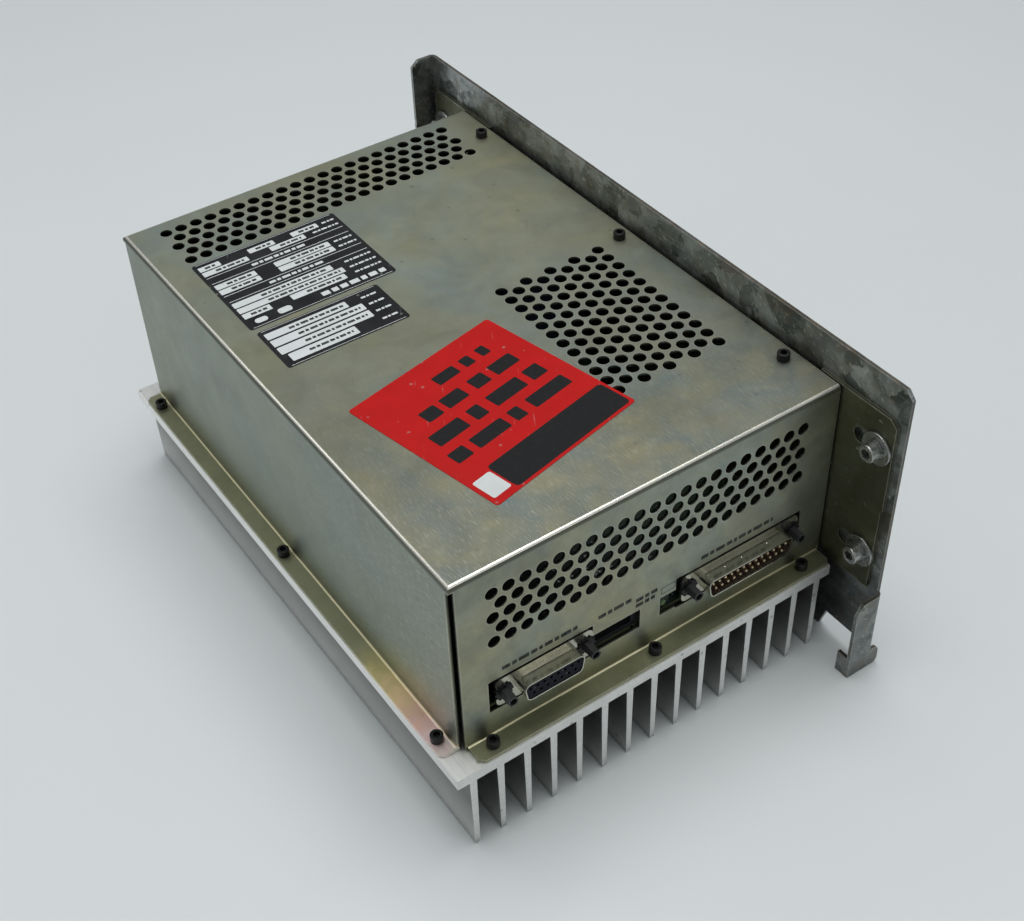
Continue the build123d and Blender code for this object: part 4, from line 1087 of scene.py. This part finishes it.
def label_sheet(name, film):
    """The face of a label, with its width and height in millimetres."""
    low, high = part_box(name)
    return Sheet(Vector((low.x, low.y, label_top)), Vector((1, 0, 0)), Vector((0, 1, 0)), film), \
        (high.x - low.x) / MM, (high.y - low.y) / MM


def mirrored(span, width):
    """The same span measured from the label's other end."""
    return width - span[1], width - span[0]


# ---------------------------------------------------------------- operators

class DRIVE_OT_cover(bpy.types.Operator):
    """Finish the folded, perforated cover in passivated zinc"""
    bl_idname = "drive.cover"
    bl_label = "Cover"

    def execute(self, context):
        paint(cover_zinc(context.scene.drive_sheet), "cover")
        return {"FINISHED"}


class DRIVE_OT_side_plate(bpy.types.Operator):
    """Finish the side plate in olive chromate"""
    bl_idname = "drive.side_plate"
    bl_label = "Side plate"

    def execute(self, context):
        paint(plate_zinc(context.scene.drive_sheet), "side_plate")
        return {"FINISHED"}


class DRIVE_OT_bracket(bpy.types.Operator):
    """Finish the mounting bracket in galvanised steel, and its hardware in bright zinc"""
    bl_idname = "drive.bracket"
    bl_label = "Mounting bracket"

    def execute(self, context):
        paint(bracket_zinc(context.scene.drive_sheet), "mounting_bracket")
        zinc = context.scene.drive_metal.bright_zinc
        bright = turned_metal("Bright zinc", zinc, 0.20, CLEAR_WHITE, 0.94, 0.9)
        paint(bright, "bracket_screws", "bracket_lock_washers", "bracket_flat_washers",
              "bracket_clinch_nuts", "top_clinch_nuts", "control_board_screws",
              "power_board_screws", "power_part_screws")
        return {"FINISHED"}


class DRIVE_OT_heatsink(bpy.types.Operator):
    """Finish the heatsink as extruded aluminium"""
    bl_idname = "drive.heatsink"
    bl_label = "Heatsink"

    def execute(self, context):
        paint(sink_aluminium(context.scene.drive_metal), "heatsink")
        return {"FINISHED"}


class DRIVE_OT_cap_screws(bpy.types.Operator):
    """Finish the cap screws, jackscrews and toothed washers in black oxide"""
    bl_idname = "drive.cap_screws"
    bl_label = "Black screws"

    def execute(self, context):
        oxide = context.scene.drive_metal.black_oxide
        paint(turned_metal("Black oxide", oxide, 0.36, (0.16, 0.16, 0.16), 0.7), "flange_screws",
              "top_screws", "side_plate_screws", "jackscrew_lock_washers")
        paint(turned_metal("Grey oxide", scaled(oxide, 3.2), 0.4, (0.3, 0.3, 0.29), 0.75),
              "jackscrews")
        return {"FINISHED"}


class DRIVE_OT_connectors(bpy.types.Operator):
    """Finish the two signal connectors, and press the dimples into the plug shell"""
    bl_idname = "drive.connectors"
    bl_label = "Signal connectors"
    dimple_reach = 3.3 * MM
    dimple_places = (-9.7, -2.1, 9.5)

    def execute(self, context):
        metal, plastic = context.scene.drive_metal, context.scene.drive_plastic
        tin = turned_metal("Tinned steel", metal.tin, 0.14, (0.95, 0.93, 0.86), 0.95, 0.30, 0.003)
        paint(tin, "feedback_connector_shell", "control_connector_shell")
        paint(turned_metal("Plated contacts", metal.contact, 0.24, (0.98, 0.9, 0.72), 0.95, 0.2),
              "control_connector_pins", "serial_header_pins", "power_module_pins",
              "mains_terminal_blades", "motor_terminal_blades", "fuse_clips", "control_board_posts",
              "power_board_posts")
        paint(moulded_plastic("Blue-black insert", plastic.blue_black, 0.5, gloss=0.12),
              "feedback_connector_insert")
        paint(moulded_plastic("Brown insert", plastic.brown, 0.5, gloss=0.15),
              "control_connector_insert")
        self.press_dimples(context.scene.drive_print.dimple, tin)
        return {"FINISHED"}

    def press_dimples(self, radius, tin):
        """Three domed dimples on the top of the plug shell and three below."""
        middle = (pin_low.x + pin_high.x) / 2
        insert_low, insert_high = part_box("control_connector_insert")
        wall = 0.4 * MM
        reach = shell_low.y + self.dimple_reach
        flattened = 0.38
        mesh = bmesh.new()
        for offset in self.dimple_places:
            for height, way in ((insert_high.z + wall, 1), (insert_low.z - wall, -1)):
                place = Matrix.Translation((middle + offset * MM, reach, height))
                squash = Matrix.Diagonal((1.0, 1.0, flattened * way, 1.0))
                bmesh.ops.create_uvsphere(mesh, u_segments=16, v_segments=8, radius=radius,
                                          matrix=place @ squash)
        piece = add_piece("control_shell_dimples", mesh, tin)
        for face in piece.data.polygons:
            face.use_smooth = True


class DRIVE_OT_front_parts(bpy.types.Operator):
    """Finish the serial header, the connector bodies and the lamps"""
    bl_idname = "drive.front_parts"
    bl_label = "Serial header and lamps"

    def execute(self, context):
        plastic = context.scene.drive_plastic
        paint(moulded_plastic("Black plastic", plastic.black), "serial_header", "lamp_holder",
              "feedback_connector_body", "control_connector_body", "link_headers")
        paint(lamp_glass(plastic), "status_lamps")
        return {"FINISHED"}


class DRIVE_OT_terminals(bpy.types.Operator):
    """Finish the mains and motor terminals"""
    bl_idname = "drive.terminals"
    bl_label = "Power terminals"

    def execute(self, context):
        paint(moulded_plastic("Green plastic", context.scene.drive_plastic.green), "mains_terminal",
              "motor_terminal")
        return {"FINISHED"}


class DRIVE_OT_boards(bpy.types.Operator):
    """Finish the circuit boards, the ribbon cable and the insulating film"""
    bl_idname = "drive.boards"
    bl_label = "Boards and film"

    def execute(self, context):
        plastic, metal = context.scene.drive_plastic, context.scene.drive_metal
        paint(solder_mask(plastic, metal), "control_board", "power_board")
        paint(insulating_film(plastic), "insulation_sheet", "thermal_pads")
        paint(flat_cable(plastic), "link_ribbon")
        return {"FINISHED"}


class DRIVE_OT_board_parts(bpy.types.Operator):
    """Finish the chips, capacitors, windings, cores and other parts inside"""
    bl_idname = "drive.board_parts"
    bl_label = "Parts inside"

    def execute(self, context):
        plastic, metal = context.scene.drive_plastic, context.scene.drive_metal
        paint(moulded_plastic("Chip epoxy", scaled(plastic.black, 1.2), 0.5, 3.1), "processor",
              "logic_chips", "power_module", "rectifier_bridge")
        paint(moulded_plastic("Relay case", plastic.black, 0.34), "inrush_relay", "current_sensors",
              "choke_base")
        paint(can_sleeve(plastic, metal), "bus_capacitors", "board_capacitors")
        paint(moulded_plastic("Film capacitor case", plastic.yellow, 0.38), "filter_capacitors")
        paint(fired_body("Ferrite", plastic.ferrite, 0.5), "transformer_core", "choke_core")
        paint(wound_material("Winding tape", plastic.tape, 2.8, 0.0), "transformer_winding")
        paint(wound_material("Enamelled copper", metal.copper, 0.5, 0.85), "choke_windings")
        paint(fired_body("Ceramic", plastic.ceramic, 0.3), "fuse")
        return {"FINISHED"}


class DRIVE_OT_black_labels(bpy.types.Operator):
    """Finish the two black labels, and print their blank fields and dashes"""
    bl_idname = "drive.black_labels"
    bl_label = "Black labels"

    def execute(self, context):
        plastic, film = context.scene.drive_plastic, context.scene.drive_print.film
        paint(printed_film("Black label", plastic.label_black, (0.035, 0.036, 0.038)),
              "rating_label", "version_label")
        white = printed_film("White field", plastic.label_white, (0.52, 0.55, 0.54))
        grey = worn_ink("Grey ink", scaled(plastic.label_black, 2.0), 0.35)
        fields, dashes = bmesh.new(), bmesh.new()
        self.print_rating(fields, dashes, film)
        self.print_version(fields, dashes, film)
        add_piece("label_fields", fields, white)
        add_piece("label_dashes", dashes, grey)
        return {"FINISHED"}

    def print_row(self, sheet, fields, dashes, width, rows, spans, margin):
        """One row of fields with dashes in them, and a short white mark in the margin."""
        middle = sum(rows) / 2
        indent, filled = 1.6, 0.72
        for start, end in spans:
            sheet.print_on(fields, mirrored((start, end), width), rows, 0, 0.35)
            inner = mirrored((start + indent, start + filled * (end - start)), width)
            sheet.dashes(dashes, inner, middle, 1.25, 1)
        sheet.dashes(fields, mirrored((1.8, margin), width), middle, 1.0)

    def print_edges(self, sheet, fields, width, height):
        """A hairline along the label's lower edge and one along its upper edge."""
        near, far, inset = 0.45, 0.65, 1.6
        for edge in ((near, far), (height - far, height - near)):
            sheet.print_on(fields, (inset, width - inset), edge, 0, 0.05)

    def print_rating(self, fields, dashes, film):
        sheet, width, height = label_sheet("rating_label", film)
        ends, middle, tall = TITLE
        sheet.dashes(fields, mirrored(ends, width), middle, tall, 0, SHORT_WORDS)
        for ends, rows in ROUND_FIELDS:
            sheet.print_on(fields, mirrored(ends, width), rows, 0, 1.2)
        for rows, spans in RATING_FIELDS:
            self.print_row(sheet, fields, dashes, width, rows, spans, min(13.0, spans[0][0] - 2.0))
        for rule in RATING_RULES:
            across = (RULE_INSET, width - RULE_INSET)
            sheet.print_on(fields, across, (rule - HALF_RULE, rule + HALF_RULE), 0, 0.1)
        for heading in RATING_HEADINGS:
            sheet.dashes(fields, mirrored(HEADING_ENDS, width), heading, 1.4)
        self.print_edges(sheet, fields, width, height)

    def print_version(self, fields, dashes, film):
        sheet, width, height = label_sheet("version_label", film)
        for rows, spans in VERSION_FIELDS:
            self.print_row(sheet, fields, dashes, width, rows, spans, min(9.0, spans[0][0] - 2.0))
        self.print_edges(sheet, fields, width, height)


class DRIVE_OT_red_label(bpy.types.Operator):
    """Finish the square red label, and print its black bars, band and white patch"""
    bl_idname = "drive.red_label"
    bl_label = "Red label"
    turn = 12.3
    width = 67.3
    height = 69.0
    band_across = (10.6, 66.1)
    band_up = (1.2, 15.0)
    patch_across = (1.8, 9.8)
    patch_up = (3.0, 13.0)
    # Each row of bars: its middle above the label's lower edge, its height, and the bars' ends.
    bars = (
        (57.5, 5.0, ((30.0, 40.0), (43.0, 47.5), (51.0, 55.0))),
        (47.0, 6.0, ((14.0, 21.0), (23.5, 33.0), (37.0, 44.0), (47.0, 58.0))),
        (36.0, 6.5, ((8.0, 22.0), (25.5, 31.0), (35.0, 50.0), (53.0, 60.0))),
        (25.5, 6.0, ((6.0, 13.0), (16.0, 31.0), (34.0, 39.0), (43.0, 61.0))),
    )

    def execute(self, context):
        plastic, film = context.scene.drive_plastic, context.scene.drive_print.film
        paint(printed_film("Red label", plastic.label_red, scaled(plastic.label_red, 0.72)),
              "red_label")
        low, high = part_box("red_label")
        angle = math.radians(self.turn)
        across = Vector((math.cos(angle), math.sin(angle), 0.0))
        upward = Vector((-math.sin(angle), math.cos(angle), 0.0))
        middle = Vector(((low.x + high.x) / 2, (low.y + high.y) / 2, label_top))
        corner = middle - (across * self.width + upward * self.height) * (MM / 2)
        sheet = Sheet(corner, across, upward, film)
        ink, patch = bmesh.new(), bmesh.new()
        sheet.print_on(ink, self.band_across, self.band_up, 0, 1.5)
        for row, height, ends in self.bars:
            for bar in ends:
                sheet.print_on(ink, bar, (row - height / 2, row + height / 2), 0, 0.6)
        sheet.print_on(patch, self.patch_across, self.patch_up, 0, 0.8)
        add_piece("red_label_bars", ink, worn_ink("Black ink", plastic.label_black, 0.02))
        add_piece("red_label_patch", patch,
                  printed_film("White patch", plastic.label_white, (0.5, 0.52, 0.5)))
        return {"FINISHED"}


class DRIVE_OT_front_marks(bpy.types.Operator):
    """Print the plain dashes that stand for the legends on the cover's front"""
    bl_idname = "drive.front_marks"
    bl_label = "Front marks"
    # Each row of dashes: its ends across the front and its middle above the floor, in mm.
    rows = (
        ((-56.6, -26.6), 69.4),
        ((-18.0, -3.8), 68.0),
        ((-2.2, 7.0), 66.0),
        ((-2.2, 6.0), 63.4),
        ((26.0, 58.4), 69.4),
    )
    box_across = (8.8, 14.9)
    box_up = (62.2, 65.0)
    line = 0.22

    def execute(self, context):
        sizes = context.scene.drive_print
        front_face = cover_low.y + FLANGE_FRONT * MM
        sheet = Sheet(Vector((0.0, front_face, 0.0)), Vector((1, 0, 0)), Vector((0, 0, 1)),
                      sizes.film)
        mesh = bmesh.new()
        for ends, middle in self.rows:
            sheet.dashes(mesh, ends, middle, sizes.legend / MM)
        across, up, line = self.box_across, self.box_up, self.line
        for edge in up:
            sheet.print_on(mesh, across, (edge, edge + line), 0, 0.05)
        for edge in (across[0], across[1] - line):
            sheet.print_on(mesh, (edge, edge + line), (up[0] + line, up[1]), 0, 0.05)
        add_piece("front_marks", mesh, worn_ink("Front ink", context.scene.drive_plastic.ink, 0.35))
        return {"FINISHED"}


# The room's brightness from the horizon up to straight overhead, by the sine of the elevation.
SKY_STEPS = ((0.0, 0.20), (0.30, 0.31), (0.60, 0.36), (0.75, 0.40), (0.90, 0.52), (1.0, 0.60))


class DRIVE_OT_stage(bpy.types.Operator):
    """Set up the floor, the soft lights and the camera"""
    bl_idname = "drive.stage"
    bl_label = "Stage"
    softbox_place = Vector((0.10, 0.05, 1.30))
    rim_place = Vector((-0.42, 0.87, 1.01))
    side_place = Vector((-1.40, 0.10, 0.24))
    front_place = Vector((0.38, -0.94, 0.98))
    camera_place = Vector((-226.66, -385.88, 450.72)) * MM
    camera_right = Vector((0.82162, -0.56922, -0.03035))
    camera_up = Vector((0.40198, 0.54083, 0.73886))

    def execute(self, context):
        settings = context.scene.drive_stage
        self.make_floor(settings)
        self.make_lights(context.scene, settings)
        self.make_camera(context.scene, settings)
        context.scene.view_settings.view_transform = "Standard"
        return {"FINISHED"}

    def make_floor(self, settings):
        mesh = bmesh.new()
        bmesh.ops.create_grid(mesh, x_segments=2, y_segments=2, size=settings.floor_size / 2)
        data = bpy.data.meshes.new("floor")
        mesh.to_mesh(data)
        mesh.free()
        floor = bpy.data.objects.new("floor", data)
        floor.location.z = cad_low.z - 0.05 * MM
        bpy.context.scene.collection.objects.link(floor)
        finish = Finish("Pale board")
        bench = finish.bench
        shade = finish.blotch(size=90.0, seed=2.0, softness=0.3)
        finish.body = settings.floor
        finish.coat(scaled(settings.floor, 0.955), shade, 0.5)
        finish.coat((0.35, 0.37, 0.38), finish.scrapes(rarity=0.74), 0.06)
        finish.roughen(0.4, shade, 0.12)
        finish.bumps(bench.noise(finish.place, 0.3, float(settings.specks)), 0.05 * MM, 0.3)
        data.materials.append(finish.done())

    def make_lights(self, scene, settings):
        world = bpy.data.worlds.new("Soft room")
        world.use_nodes = True
        scene.world = world
        bench = Bench(world.node_tree)
        height = bench.split(bench.node("ShaderNodeTexCoord").outputs["Generated"])[2]
        glow = bench.ramp(height,
                          tuple(((at, scaled(settings.sky, share)) for at, share in SKY_STEPS)))
        sky = next(n for n in world.node_tree.nodes if n.type == "BACKGROUND")
        bench.feed(sky.inputs["Color"], glow)
        sky.inputs["Strength"].default_value = settings.sky_strength
        self.hang_softbox("overhead", self.softbox_place, settings.key_size, settings.key_power)
        self.hang_softbox("rim", self.rim_place, settings.rim_size, settings.rim_power)
        self.hang_softbox("side", self.side_place, settings.side_size, settings.side_power)
        self.hang_softbox("front", self.front_place, settings.front_size, settings.front_power)

    def hang_softbox(self, name, place, size, power):
        """Hangs a square light at place, facing the drive."""
        light = bpy.data.lights.new(name, "AREA")
        light.shape = "SQUARE"
        light.size = size
        light.energy = power
        lamp = bpy.data.objects.new(name, light)
        bpy.context.scene.collection.objects.link(lamp)
        lamp.location = place
        lamp.rotation_mode = "QUATERNION"
        lamp.rotation_quaternion = (-place).to_track_quat("-Z", "Y")

    def make_camera(self, scene, settings):
        data = bpy.data.cameras.new("camera")
        data.sensor_fit = "HORIZONTAL"
        data.sensor_width = 36.0
        data.lens = settings.lens
        data.clip_start = 0.01
        camera = bpy.data.objects.new("camera", data)
        scene.collection.objects.link(camera)
        back = self.camera_right.cross(self.camera_up)
        turn = Matrix((self.camera_right, self.camera_up, back)).transposed().to_4x4()
        camera.matrix_world = Matrix.Translation(self.camera_place) @ turn
        scene.camera = camera


OPERATORS = (DRIVE_OT_cover, DRIVE_OT_side_plate, DRIVE_OT_bracket, DRIVE_OT_heatsink,
             DRIVE_OT_cap_screws, DRIVE_OT_connectors, DRIVE_OT_front_parts, DRIVE_OT_terminals,
             DRIVE_OT_boards, DRIVE_OT_board_parts, DRIVE_OT_black_labels, DRIVE_OT_red_label,
             DRIVE_OT_front_marks, DRIVE_OT_stage)


class DRIVE_PT_looks(bpy.types.Panel):
    """Lists the steps that finish the servo drive"""
    bl_idname = "DRIVE_PT_looks"
    bl_label = "Servo Drive"
    bl_space_type = "VIEW_3D"
    bl_region_type = "UI"
    bl_category = "Servo Drive"

    def draw(self, context):
        for step in OPERATORS:
            self.layout.operator(step.bl_idname)
        for name, kind in SETTINGS.items():
            box = self.layout.box()
            for entry in kind.__annotations__:
                box.prop(getattr(context.scene, name), entry)


def register():
    for name, kind in SETTINGS.items():
        bpy.utils.register_class(kind)
        setattr(bpy.types.Scene, name, PointerProperty(type=kind))
    for kind in (*OPERATORS, DRIVE_PT_looks):
        bpy.utils.register_class(kind)


def unregister():
    for kind in reversed((*OPERATORS, DRIVE_PT_looks)):
        bpy.utils.unregister_class(kind)
    for name, kind in SETTINGS.items():
        delattr(bpy.types.Scene, name)
        bpy.utils.unregister_class(kind)


def main():
    register()
    for step in OPERATORS:
        group, name = step.bl_idname.split(".")
        getattr(getattr(bpy.ops, group), name)()


if __name__ == "__main__":
    main()
